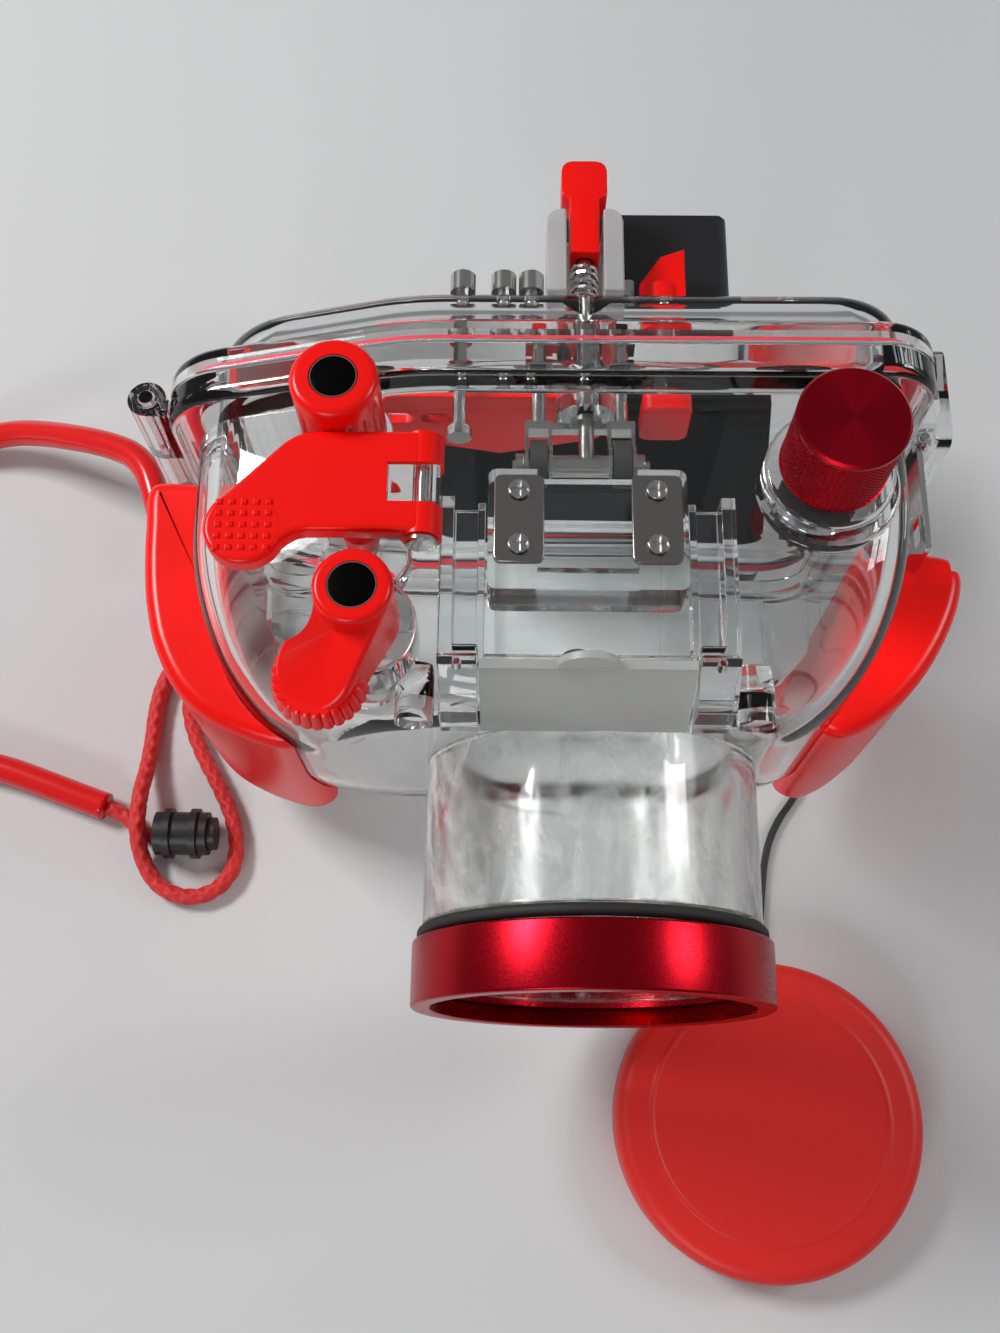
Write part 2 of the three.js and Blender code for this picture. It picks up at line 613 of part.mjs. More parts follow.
function baseFeet() {
  const middle = slab(roundedBox(-pad.half, pad.half, pad.front, pad.back, pad.corner), 'plan', 0,
    pad.rise);
  const ends = [foot.leftX, foot.rightX].map((x) => slab(
    roundedBox(x - foot.half, x + foot.half, foot.front, foot.back, pad.corner), 'plan', 0, pad.rise));
  const lug = block(cordLug.left, foot.leftX, cordLug.front, cordLug.back, cordLug.bottom, cordLug.top);
  return [middle, ...ends, lug];
}

function frontCase() {
  const catchRoot = shell.right - shell.wall / 2;
  const catchPlan = dots([
    [catchRoot, latchCatch.front], [latchCatch.frontReach, latchCatch.front],
    [latchCatch.backReach, latchCatch.back],
    [catchRoot, latchCatch.back],
  ]);
  const strapEye = block(flangeSize.left - strapLug.reach, flangeSize.left + gap, flange.front,
    flange.back - gap,
    strapLug.bottom, strapLug.top);
  const outside = join(
    frontBody(0, flange.back),
    slab(caseOutline(flangeSize, evenInset(0)), 'front', flange.front, flange.back),
    ...caseBosses(),
    tongueSolid(),
    slab(catchPlan, 'plan', latchCatch.bottom, latchCatch.top),
    strapEye,
  );
  const hollow = cut(
    outside,
    frontBody(shell.wall, flange.front),
    slab(caseOutline(shell, mouthInset), 'front', flange.front - overrun, flange.back + overrun),
  );
  const shaftHole = (x, y, radius) => barZ(x, y, radius + gap, lensHeight, knobTop);
  return cut(
    join(hollow, ...baseFeet(), ...knuckles(0, hingeY - hinge.radius, flange.back)),
    barY(0, lensHeight, tubeBore, nose.front - overrun, nose.back, sides.port),
    barY(0, lensHeight, tubeSpigot + gap, nose.front - overrun, nose.front + tube.spigotLength + gap,
      sides.port),
    shaftHole(knob.x, knob.y, knob.shaft),
    shaftHole(dial.x, dial.y, dial.shaft),
    shaftHole(plunger.x, plunger.y, plunger.rod),
    shaftHole(rocker.x, rocker.y, rocker.shaft),
    hingeBore(),
    barY(lever.pivotX, leverPivotZ, leverPin.radius + gap, lever.front, lever.back),
    barZ(0, pad.bushY, pad.bush + gap, -overrun, pad.bushTop + gap, sides.boss),
  );
}

// Lens port
function portTube() {
  const back = nose.front + tube.spigotLength;
  const seat = nose.front - gap;
  return turned([
    [tubeBore, tube.front], [tubeNeck, tube.front], [tubeNeck, tube.shoulder],
    [tube.radius, tube.shoulder],
    [tube.radius, seat], [tubeSpigot, seat], [tubeSpigot, back], [tubeBore, back],
    [tubeBore, tube.front],
  ], 'y', 0, lensHeight, sides.port);
}

function portRing() {
  const lipFront = ring.lipBack - ring.lipThickness;
  const ringLip = ringBore - ring.lip;
  const ringThread = ringBore - ring.threadStep;
  const pitch = (lipFront - ring.front) / (2 * ring.threadTurns);
  const thread = [];
  for (let i = 2 * ring.threadTurns; i >= 0; i -= 1) {
    thread.push([ringThread - (i % 2) * ring.threadDepth, ring.front + i * pitch]);
  }
  const body = turned([
    [ringBore, ring.back], [ringBore, ring.lipBack], [ringLip, ring.lipBack], [ringLip, lipFront],
    ...thread,
    [ringRadius - ring.chamfer, ring.front], [ringRadius, ring.front + ring.chamfer],
    [ringRadius, ring.back - ring.chamfer], [ringRadius - ring.chamfer, ring.back],
    [ringBore, ring.back],
  ], 'y', 0, lensHeight, sides.port);
  const holes = Array.from({ length: ring.keyHoles }, (_, i) => {
    const angle = ((i + 1 / 2) * 2 * Math.PI) / ring.keyHoles;
    const tool = new THREE.CylinderGeometry(ring.keyHole, ring.keyHole, ringRadius, sides.pin);
    tool.rotateZ(-Math.PI / 2).translate(ringRadius, 0, 0).rotateY(angle);
    return solidOf(tool.translate(0, ring.front + ring.keyHoleInset, lensHeight));
  });
  return cut(body, ...holes);
}

function portSeal() {
  const path = circle(0, lensHeight, tubeNeck + gap + band.radius, sides.port);
  return hoop(path, (tube.shoulder + ring.back) / 2, band.radius, band.sides);
}

const portGlass = () => (
  barY(0, lensHeight, tubeNeck, tube.front - gap - glassThickness, tube.front - gap, sides.port)
);

// Accessory shoe
const plateBottom = shoe.top + gap;
const plateTop = plateBottom + plate.thickness;
const ordered = (a, b) => (a < b ? [a, b] : [b, a]);
const plateSpan = (side) => (
  ordered(flashX + side * plate.inner, flashX + side * (plate.inner + plate.width))
);

function screwSpots() {
  return [-1, 1].flatMap((side) => {
    const [x0, x1] = plateSpan(side);
    return [plate.back - plate.screwInset,
      plate.front + plate.screwInset].map((y) => ({ x: (x0 + x1) / 2, y, side }));
  });
}

function shoeBlock() {
  const outline = roundedBox(flashX - shoe.half, flashX + shoe.half, shoe.front, shoe.back, shoe.corner);
  const slot = block(flashX - shoe.slotHalf, flashX + shoe.slotHalf, shoe.slotFront, shoe.back + overrun,
    shoe.base,
    shoe.top + overrun);
  const holes = screwSpots().map(({ x, y }) => (
    barZ(x, y, screw.shank + gap, shoe.top - screw.length, shoe.top + overrun, sides.pin)));
  return cut(slab(outline, 'plan', shoe.skirt, shoe.top), slot, frontBody(-gap, flange.back), ...holes);
}

function shoePlate(side) {
  const body = slab(roundedBox(...plateSpan(side), plate.front, plate.back, plate.corner), 'plan',
    plateBottom, plateTop);
  const holes = screwSpots().filter((spot) => spot.side === side)
    .map(({ x, y }) => barZ(x, y, screw.shank + gap, plateBottom - overrun, plateTop + overrun, sides.pin));
  return cut(body, ...holes);
}

function shoeScrew({ x, y }) {
  const seat = plateTop + gap;
  const top = seat + screw.headHeight;
  const reach = screw.head - screw.slot;
  const wing = screw.slot / 2;
  return cut(
    join(
      barZ(x, y, screw.head, seat, top, sides.pin),
      barZ(x, y, screw.shank, shoe.top - screw.length + gap, seat + screw.headHeight / 2, sides.pin),
    ),
    block(x - reach, x + reach, y - wing, y + wing, top - screw.slotDepth, top + overrun),
    block(x - wing, x + wing, y - reach, y + reach, top - screw.slotDepth, top + overrun),
  );
}

// Flash diffuser
const blockInner = diffuser.outer - 2 * diffuser.blockHalf;

function diffuserArm(side) {
  const span = (a, b) => ordered(flashX + side * a, flashX + side * b);
  const end = span(blockInner, diffuser.outer);
  const barBack = diffuser.front + diffuser.bar;
  return [
    block(...span(diffuser.outer - diffuser.wall, diffuser.outer), diffuser.front, diffuser.back,
      diffuser.bottom, diffuser.top),
    block(...span(diffuser.inner, diffuser.inner + diffuser.innerWall), diffuser.front, diffuser.back,
      diffuser.bottom,
      diffuser.innerTop),
    block(...span(diffuser.inner, diffuser.outer), diffuser.front, diffuser.back, diffuser.bottom,
      diffuser.bottom + diffuser.floor),
    slab(dots([
      [barBack, diffuser.top], [diffuser.front, diffuser.top],
      [diffuser.blockFront, diffuser.blockShoulder],
      [diffuser.blockFront, diffuser.blockBottom], [nose.front, diffuser.blockBottom],
      [barBack, diffuser.bottom],
    ]), 'side', ...end),
    barZ((end[0] + end[1]) / 2, diffuser.front - diffuser.bar / 2, diffuser.pin, diffuser.bottom,
      diffuser.top + diffuser.pinReach, sides.pin),
  ];
}

function diffuserFrame() {
  const half = blockInner + gap;
  const bar = block(flashX - half, flashX + half, diffuser.front, diffuser.front + diffuser.bar,
    diffuser.bottom, diffuser.barTop);
  return cut(join(bar, ...diffuserArm(-1), ...diffuserArm(1)), frontBody(-2 * gap, flange.back));
}

function diffuserPanel() {
  const half = blockInner - gap;
  const low = diffuser.panelTop - diffuser.panelDrop;
  const lowBack = diffuser.panelBack - diffuser.lean * diffuser.panelDrop;
  const panelFront = diffuser.panelBack - diffuser.panelThickness;
  const sheet = slab(dots([
    [diffuser.panelBack, diffuser.panelTop], [lowBack, low], [lowBack - diffuser.panelThickness, low],
    [panelFront, diffuser.panelTop],
  ]), 'side', flashX - half, flashX + half);
  const disc = barY(flashX, diffuser.panelTop, diffuser.tab, panelFront, diffuser.panelBack, sides.boss);
  const lower = block(flashX - diffuser.tab, flashX + diffuser.tab, panelFront - overrun,
    diffuser.panelBack + overrun,
    diffuser.panelTop - diffuser.tab - overrun, diffuser.panelTop - diffuser.panelThickness);
  return cut(
    join(sheet, cut(disc, lower)),
    barY(0, lensHeight, tube.radius + diffuser.tubeClearance, ring.front, 0, sides.port),
    frontBody(-2 * gap, flange.back),
  );
}

// Mode dial
function dialKnob() {
  const collarBottom = dialTop - dial.collarHeight;
  const outline = toothed(dial.x, dial.y, dial.radius, dial.fluteDepth, dial.flutes);
  const flutes = slab(outline, 'plan', dialBottom, collarBottom);
  const collar = chamfered(dial.x, dial.y, dial.radius, dial.edge, collarBottom - overrun, dialTop,
    sides.knob);
  return cut(
    join(flutes, collar),
    barZ(dial.x, dial.y, dial.capRadius + gap, dialTop - dial.capThickness - gap, dialTop + overrun,
      sides.boss),
    barZ(dial.x, dial.y, dial.shaft + gap, dialBottom - overrun, dialShaftTop + gap),
  );
}

const dialCap = () => (
  barZ(dial.x, dial.y, dial.capRadius, dialTop - dial.capThickness, dialTop, sides.boss)
);

function dialShaft() {
  const wheelTop = shell.top - dial.wheelDrop;
  const wheelBottom = wheelTop - dial.wheelThickness;
  return join(
    barZ(dial.x, dial.y, dial.shaft, wheelBottom, dialShaftTop),
    barZ(dial.x, dial.y, dial.wheel, wheelBottom, wheelTop, sides.boss),
  );
}

// Shutter lever: a plate with a studded thumb pad, hung on a pin through the tongue
function leverStuds() {
  const rows = Array.from({ length: lever.padRows },
    (_, i) => (i - (lever.padRows - 1) / 2) * lever.padPitch);
  const limit = lever.padRadius - lever.padStud;
  const centres = rows.flatMap((dx) => rows.map((dy) => dot(dx, dy))).filter((p) => p.length() < limit);
  return centres.map((offset) => {
    const [x, y] = [lever.padX + offset.x, lever.padY + offset.y];
    const half = lever.padStud;
    const base = dots([[x - half, y - half], [x + half, y - half], [x + half, y + half],
      [x - half, y + half]]);
    const crown = base.map((p) => p.clone().lerp(dot(x, y), 1 / 2));
    return skinned([level(base, leverTop - gap), level(crown, leverTop + lever.padLift)]);
  });
}

function shutterLever() {
  const bottom = leverTop - lever.thickness;
  const plan = rounded([
    { x: lever.padX + lever.padRadius / 2, y: lever.padY - lever.padRadius, r: lever.corner },
    { x: lever.left, y: lever.front, r: lever.neck },
    { x: lever.pivotX, y: lever.front, r: 0 }, { x: lever.pivotX, y: lever.back, r: 0 },
    { x: lever.left + lever.padRadius, y: lever.back, r: lever.padRadius },
    { x: lever.padX, y: lever.padY + lever.padRadius, r: lever.corner },
  ], 4);
  return cut(
    join(
      slab(plan, 'plan', bottom, leverTop),
      barZ(lever.padX, lever.padY, lever.padRadius, bottom, leverTop, sides.boss),
      barY(lever.pivotX, leverPivotZ, lever.barrel, lever.front, lever.back, sides.boss),
      ...leverStuds(),
    ),
    block(lever.slotLeft, lever.pivotX + 2 * lever.barrel, tongue.front - gap, tongue.back + gap,
      leverPivotZ - 2 * lever.barrel, leverTop + overrun),
    barY(lever.pivotX, leverPivotZ, leverPin.radius + gap, lever.front - overrun, lever.back + overrun),
  );
}

function leverPinSolid() {
  const headBack = lever.front - gap;
  const headFront = headBack - leverPin.headHeight;
  return cut(
    join(
      barY(lever.pivotX, leverPivotZ, leverPin.radius, headBack - leverPin.headHeight / 2,
        lever.back - gap),
      barY(lever.pivotX, leverPivotZ, leverPin.head, headFront, headBack),
    ),
    block(lever.pivotX - 2 * leverPin.head, lever.pivotX + 2 * leverPin.head, headFront - overrun,
      headFront + leverPin.slotDepth, leverPivotZ - leverPin.slot / 2, leverPivotZ + leverPin.slot / 2),
  );
}

const plungerSolid = () => join(
  chamfered(plunger.x, plunger.y, plunger.head, plunger.chamfer, plungerHeadBottom, plungerHeadTop,
    sides.bar),
  barZ(plunger.x, plunger.y, plunger.rod, plungerBottom, plungerHeadTop - plunger.chamfer, sides.pin),
  barZ(plunger.x, plunger.y, plunger.foot, plungerBottom - plunger.footHeight, plungerBottom),
);

// The arm's plan: round at the hub, straight flanks, round at the foot
function armOutline() {
  const hub = dot(rocker.x, rocker.y);
  const foot = dot(rocker.footX, rocker.footY);
  const along = foot.clone().sub(hub).angle();
  const lean = Math.asin((rocker.foot - rocker.armInset - rocker.hub) / hub.distanceTo(foot));
  const round = (centre, radius, from, sweep) => Array.from({ length: 2 * arcSteps + 1 }, (_, i) => {
    const angle = from + (sweep * i) / (2 * arcSteps);
    return dot(centre.x + radius * Math.cos(angle), centre.y + radius * Math.sin(angle));
  });
  const quarter = Math.PI / 2;
  return [
    ...round(foot, rocker.foot - rocker.armInset, along - quarter - lean, 2 * quarter + 2 * lean),
    ...round(hub, rocker.hub, along + quarter + lean, 2 * quarter - 2 * lean),
  ];
}

function zoomLever() {
  const { x, y } = rocker;
  const outline = armOutline();
  const down = dot(rocker.footX - x, rocker.footY - y).normalize();
  const heightAt = (p) => rockerTop + rocker.armDrop - rocker.armSlope * p.clone().sub(dot(x, y)).dot(down);
  const slopeTop = outline.map((p) => new THREE.Vector3(p.x, p.y, heightAt(p)));
  const rim = (radius) => toothed(rocker.footX, rocker.footY, radius, rocker.ribDepth, rocker.ribs);
  const above = block(x - 3 * rocker.foot, x + 2 * rocker.foot, y - 3 * rocker.foot, y + 2 * rocker.foot,
    rockerTop,
    rockerTop + rocker.height);
  const body = join(
    skinned([level(outline, rockerBottom), slopeTop]),
    skinned([
      level(rim(rocker.foot + rocker.flare), rockerBottom),
      level(rim(rocker.foot), rockerBottom + rocker.footHeight),
    ]),
    chamfered(x, y, rocker.hub, rocker.edge, rockerBottom, rockerTop, sides.boss),
  );
  return cut(
    body,
    above,
    barZ(x, y, dial.capRadius + gap, rockerTop - dial.capThickness - gap, rockerTop + overrun, sides.boss),
    barZ(x, y, rocker.shaft + gap, rockerBottom - overrun, rockerShaftTop + gap),
  );
}

const zoomLeverCap = () => (
  barZ(rocker.x, rocker.y, dial.capRadius, rockerTop - dial.capThickness, rockerTop, sides.boss)
);
const zoomLeverShaft = () => join(
  barZ(rocker.x, rocker.y, rocker.shaft, rockerShaftBottom, rockerShaftTop),
  block(rocker.x - rocker.armHalf, rocker.x + rocker.armHalf, rocker.y, rocker.y + rocker.arm,
    rockerShaftBottom,
    rockerShaftBottom + rocker.armThickness),
);

// Zoom knob: a ridged barrel between two plain edges
function zoomKnob() {
  const ridged = slab(toothed(knob.x, knob.y, knob.radius, knob.ridgeDepth, knob.ridges), 'plan',
    knobBottom + knob.edge, knobTop - 2 * knob.edge);
  const core = chamfered(knob.x, knob.y, knob.radius - knob.ridgeDepth, knob.edge, knobBottom, knobTop,
    sides.knob);
  return cut(join(ridged, core), barZ(knob.x, knob.y, knob.shaft + gap, knobBottom - overrun,
    knobShaftTop + gap));
}

const knobWasher = () => cut(
  barZ(knob.x, knob.y, knob.washer, knobBossTop + gap, washerTop, sides.knob),
  barZ(knob.x, knob.y, knob.shaft + gap, knobBossTop - overrun, knobBottom),
);

function zoomKnobShaft() {
  const gearBottom = gearTop - knob.gearThickness;
  return join(
    barZ(knob.x, knob.y, knob.shaft, gearBottom, knobShaftTop),
    slab(toothed(knob.x, knob.y, knob.gear, knob.toothDepth, knob.gearTeeth), 'plan', gearBottom, gearTop),
  );
}

const shutterSpring = () => spring(
  leverCoil, 'z', plunger.x, plunger.y, plungerBossTop + gap, plungerHeadBottom - gap);

const hingePin = () => join(
  barZ(hingeX, hingeY, hinge.pin, hinge.bottom - gap, hinge.top + 2 * gap),
  barZ(hingeX, hingeY, hinge.head, hinge.top + gap, hinge.top + gap + hinge.headHeight),
);

const gripSolid = (contour) => (
  cut(slab(dots(contour), 'plan', grip.bottom, grip.top, grip.edge), frontBody(-gap, flange.back))
);

const tripodBush = () => cut(
  barZ(0, pad.bushY, pad.bush, 0, pad.bushTop, sides.boss),
  barZ(0, pad.bushY, pad.bushBore, -overrun, pad.bushTop + overrun),
);

// Back door
const doorSize = { ...shell, left: shell.left + door.leftInset, right: shell.right + door.rightStep };
const doorInside = door.back - door.wall;
const bossRoot = door.back - door.wall / 2;

function doorBody(skin, front) {
  const rings = [onPlane(caseOutline(doorSize, evenInset(skin)), front)];
  for (let i = 0; i <= door.steps; i += 1) {
    const angle = (i / door.steps) * (Math.PI / 2);
    const inset = skin + (door.edge - skin) * (1 - Math.cos(angle));
    const y = door.back - door.edge + (door.edge - skin) * Math.sin(angle);
    rings.push(onPlane(caseOutline(doorSize, { ...evenInset(inset), rounding: -skin }), y));
  }
  return skinned(rings);
}

function sealGroove() {
  const half = seal.width / 2;
  const deep = doorFront + seal.depth;
  const outside = slab(caseOutline(flangeSize, evenInset(seal.inset - half)), 'front', doorFront - overrun,
    deep);
  const inside = slab(caseOutline(flangeSize, evenInset(seal.inset + half)), 'front',
    doorFront - 2 * overrun, deep + overrun);
  return outside.subtract(inside);
}

const mainSeal = () => hoop(
  caseOutline(flangeSize, evenInset(seal.inset)), doorFront + seal.depth / 2 - gap / 2, seal.radius,
    seal.sides);

function backingSpots() {
  const inset = backing.frame / 2;
  return [backing.left + inset, backing.right - inset].flatMap((x) => (
    [backing.bottom + inset, backing.top - inset].map((z) => [x, z])));
}

const backingBack = backing.front + backing.thickness;

function rearCase() {
  const hollow = cut(
    join(
      doorBody(0, doorFront),
      slab(caseOutline(flangeSize, evenInset(0)), 'front', doorFront, doorFlangeBack),
    ),
    doorBody(door.wall, doorFlangeBack),
    slab(caseOutline(doorSize, mouthInset), 'front', doorFront - overrun, doorFlangeBack + overrun),
    sealGroove(),
  );
  const fitted = join(
    hollow,
    barZ(latch.pivotX, latch.pivotY, latch.knuckle, latch.lugBottom, latch.lugTop, sides.boss),
    block(doorSize.right - door.wall / 2, latch.pivotX, latch.pivotY - latch.knuckle,
      latch.pivotY + latch.knuckle,
      latch.lugBottom, latch.lugTop),
    barY(pusher.x, controlHeight, pusher.dome, pusher.domeFront, bossRoot, sides.boss),
    barY(flag.x, flag.z, flag.hub, doorInside - button.bossDepth, bossRoot, sides.boss),
    ...backButtons.map(({ x }) => barY(x, controlHeight, button.boss, doorInside - button.bossDepth,
      bossRoot)),
    ...backingSpots().map(([x, z]) => barY(x, z, door.post, backingBack + gap, bossRoot)),
    ...knuckles(1, doorFront, hingeY + hinge.radius),
  );
  const through = (x, z, radius) => barY(x, z, radius + gap, 0, hood.back);
  return cut(
    fitted,
    hingeBore(),
    barZ(latch.pivotX, latch.pivotY, latch.pin + gap, latch.bottom, latch.top, sides.pin),
    through(pusher.x, controlHeight, pusher.rod),
    through(flag.x, flag.z, flag.rod),
    barY(backPin.x, backPin.z, backPin.radius + gap, backPin.front - overrun, hood.back),
    ...backButtons.map(({ x }) => through(x, controlHeight, button.rod)),
  );
}

function lcdHood() {
  const body = slab(roundedBox(hood.left, hood.right, hood.bottom, hood.top, hood.corner), 'front',
    door.back + gap, hood.back);
  const inside = roundedBox(hood.left + hood.wall, hood.right - hood.wall, hood.bottom + hood.wall,
    hood.top - hood.wall,
    hood.corner - hood.wall / 2);
  return cut(body, slab(inside, 'front', door.back - overrun, hood.back + overrun));
}

function innerBacking() {
  const outline = roundedBox(backing.left, backing.right, backing.bottom, backing.top, backing.corner);
  const window = roundedBox(backing.left + backing.frame, backing.right - backing.frame,
    backing.bottom + backing.frameBottom, backing.top - backing.frame, backing.corner);
  return cut(
    slab(outline, 'front', backing.front, backingBack),
    slab(window, 'front', backing.front - overrun, backingBack + overrun),
  );
}

function innerRedPanel() {
  const outline = rounded([
    { x: panel.left, y: panel.bottom, r: panel.corner },
    { x: panel.pointX, y: panel.pointZ, r: panel.corner },
    { x: panel.right, y: panel.bottom, r: panel.corner }, { x: panel.right, y: panel.top, r: panel.corner },
    { x: panel.left, y: panel.top, r: panel.corner },
  ], 3);
  const back = panel.front + panel.thickness;
  const reach = panel.ovalHalf + panel.ovalRadius;
  const ovals = [-1, 0].map((i) => {
    const x = panel.ovalX + i * panel.ovalPitch;
    const oval = roundedBox(x - reach, x + reach, panel.ovalZ - panel.ovalRadius,
      panel.ovalZ + panel.ovalRadius,
      panel.ovalRadius, 4);
    return slab(oval, 'front', panel.front - overrun, back + overrun);
  });
  const domeHole = barY(pusher.x, controlHeight, pusher.dome + gap, panel.front - overrun, back + overrun,
    sides.boss);
  return cut(slab(outline, 'front', panel.front, back), domeHole, ...ovals);
}

// Push control: guard, paddle and the roller carriage
function pushGuard() {
  const left = pusher.x - guard.half;
  const right = pusher.x + guard.half;
  const top = controlHeight + guard.above;
  const plan = rounded([
    { x: left, y: door.back + gap, r: 0 }, { x: right, y: door.back + gap, r: 0 },
    { x: right, y: guard.back, r: guard.corner }, { x: left, y: guard.back, r: guard.corner },
  ], 3);
  return cut(
    slab(plan, 'plan', controlHeight - guard.below, top),
    block(pusher.x - guard.slotHalf, pusher.x + guard.slotHalf, door.back - overrun, guard.back + overrun,
      controlHeight - guard.floorDrop, top + overrun),
  );
}

function pushPaddle() {
  const { x, stemHalf, headHalf, stemFront, headBack, corner } = pusher;
  const neck = guard.back + pusher.travel + gap;
  const headFront = neck + corner / 2;
  const plan = rounded([
    { x: x - stemHalf, y: stemFront, r: 0 }, { x: x + stemHalf, y: stemFront, r: 0 },
    { x: x + stemHalf, y: neck, r: 0 },
    { x: x + headHalf, y: headFront, r: corner / 2 }, { x: x + headHalf, y: headBack, r: corner },
    { x: x - headHalf, y: headBack, r: corner }, { x: x - headHalf, y: headFront, r: corner / 2 },
    { x: x - stemHalf, y: neck, r: 0 },
  ], 3);
  return cut(
    slab(plan, 'plan', controlHeight - pusher.below, controlHeight + pusher.above, gap),
    barY(x, controlHeight, pusher.rod + gap, stemFront - overrun, pusher.rodBack + gap, sides.pin),
  );
}

function pushCarriage() {
  const cheeks = [roller.left, roller.right].flatMap((x) => [-1, 1].map((side) => {
    const inner = x + side * (roller.thickness / 2 + gap);
    return slab(roundedBox(yoke.front, yoke.back, yokeBottom, yokeTop, yoke.corner), 'side',
      ...ordered(inner, inner + side * yoke.cheek));
  }));
  const reach = roller.thickness / 2 + gap + yoke.cheek;
  const guides = [roller.left, roller.right].map((x) => (
    barY(x, yokeBottom + yoke.guide, yoke.guide, yoke.bridgeFront, yoke.guideBack, sides.pin)));
  return join(
    barY(pusher.x, controlHeight, pusher.rod, yoke.bridgeFront, pusher.rodBack, sides.pin),
    barY(pusher.x, controlHeight, pusher.clipRadius, pusher.clipFront, pusher.clipBack),
    block(roller.left - reach, roller.right + reach, yoke.bridgeFront, yoke.back, yokeBottom, yokeTop),
    ...cheeks,
    ...guides,
    barX(axle.y, axleZ, axle.radius, axle.left, axle.right, sides.pin),
    barX(axle.y, axleZ, axle.nut, axle.left + axle.nutLength / 2, axle.left + axle.nutLength + gap, 6),
    barX(axle.y, axleZ, axle.nut, axle.right - axle.nutLength - gap, axle.right - axle.nutLength / 2, 6),
  );
}

const rollerSolid = (x) => cut(
  barX(axle.y, axleZ, roller.radius, x - roller.thickness / 2, x + roller.thickness / 2, sides.boss),
  barX(axle.y, axleZ, axle.radius + gap, x - roller.thickness, x + roller.thickness, sides.pin),
);

function rearButton({ x, tipFront, tip }) {
  const head = turned([
    [0, button.headFront], [button.head, button.headFront], [button.head, button.headBack - button.edge],
    [button.head - button.edge, button.headBack], [0, button.headBack],
  ], 'y', x, controlHeight, sides.bar);
  return join(
    head,
    barY(x, controlHeight, button.rod, tipFront, button.headFront + button.edge, sides.pin),
    barY(x, controlHeight, tip, tipFront, tipFront + button.tipLength, sides.pin),
  );
}

const rearPost = () => join(
  barY(backPin.x, backPin.z, backPin.radius, backPin.front, backPin.back, sides.pin),
  barY(backPin.x, backPin.z, backPin.collar, backPin.collarFront, backPin.collarBack, sides.pin),
);

// Flag lever: a red fin outside and a red block inside, on one rod
function rearFlag() {
  const fin = slab(dots([
    [flag.left, flag.root], [flag.right, flag.root], [flag.right, flag.tip], [flag.x, flag.tip - overrun],
    [flag.left, flag.hubBack],
  ]), 'plan', flag.z - flag.half, flag.z + flag.half);
  return cut(
    join(fin, barY(flag.x, flag.z, flag.hub, flag.hubFront, flag.hubBack)),
    barY(flag.x, flag.z, flag.rod + gap, 0, flag.hubBack - overrun, sides.pin),
  );
}

const flagRod = () => (
  barY(flag.x, flag.z, flag.rod, flag.blockFront + overrun, flag.hubBack - overrun - gap, sides.pin)
);

function flagBlock() {
  const outline = roundedBox(flag.x - flag.blockHalf, flag.x + flag.blockHalf, flag.blockBottom,
    flag.blockTop, flag.corner);
  return cut(
    slab(outline, 'front', flag.blockFront, flag.blockBack),
    barY(flag.x, flag.z, flag.rod + gap, flag.blockFront + overrun - gap, hood.back, sides.pin),
  );
}

// Latch
function latchLever() {
  const arm = (x, y, radius, z0, z1) => join(
    barZ(x, y, radius, z0, z1, sides.boss), block(x, latch.inner + gap, y - radius, y + radius, z0, z1));
  return cut(
    join(
      slab(roundedBox(latch.front, latch.back, latch.bottom, latch.top, latch.corner), 'side', latch.inner,
        latch.outer),
      arm(latch.pivotX, latch.pivotY, latch.knuckle, latch.bottom + latch.corner, latch.lugBottom - gap),
      arm(latch.pivotX, latch.pivotY, latch.knuckle, latch.lugTop + gap, latch.top - latch.corner),
      arm(latch.hookX, latch.hookY, latch.hookKnuckle, hook.bottom, hook.tabBottom - gap),
      arm(latch.hookX, latch.hookY, latch.hookKnuckle, hook.tabTop + gap, hook.top),
    ),
    barZ(latch.pivotX, latch.pivotY, latch.pin + gap, latch.bottom - overrun, latch.top + overrun,
      sides.pin),
    barZ(latch.hookX, latch.hookY, latch.hookPin + gap, latch.bottom - overrun, latch.top + overrun,
      sides.pin),
  );
}

function latchHook() {
  const outer = hook.inner + hook.thickness;
  const sheet = slab(roundedBox(hook.front, hook.back, hook.bottom, hook.top, hook.corner), 'side',
    hook.inner, outer);
  const window = block(hook.inner - overrun, outer + overrun, hook.windowFront, hook.windowBack,
    hook.bottom + hook.windowInset, hook.top - hook.windowInset);
  return cut(
    join(
      cut(sheet, window),
      block(hook.inner, outer, hook.back - overrun, latch.hookY, hook.tabBottom, hook.tabTop),
      block(hook.claw, outer, hook.front, hook.front + hook.thickness, hook.tabBottom, hook.tabTop),
      barZ(latch.hookX, latch.hookY, latch.hookKnuckle, hook.tabBottom, hook.tabTop, sides.boss),
      barX(hook.rivetY, (hook.bottom + hook.top) / 2, hook.rivet, hook.inner, outer + hook.rivetHeight),
    ),
    barZ(latch.hookX, latch.hookY, latch.hookPin + gap, latch.bottom, latch.top, sides.pin),
  );
}

const latchPin = () => (
  barZ(latch.pivotX, latch.pivotY, latch.pin, latch.bottom + gap, latch.top, sides.pin)
);
const hookPin = () => (
  barZ(latch.hookX, latch.hookY, latch.hookPin, hook.bottom - gap, hook.top + gap, sides.pin)
);

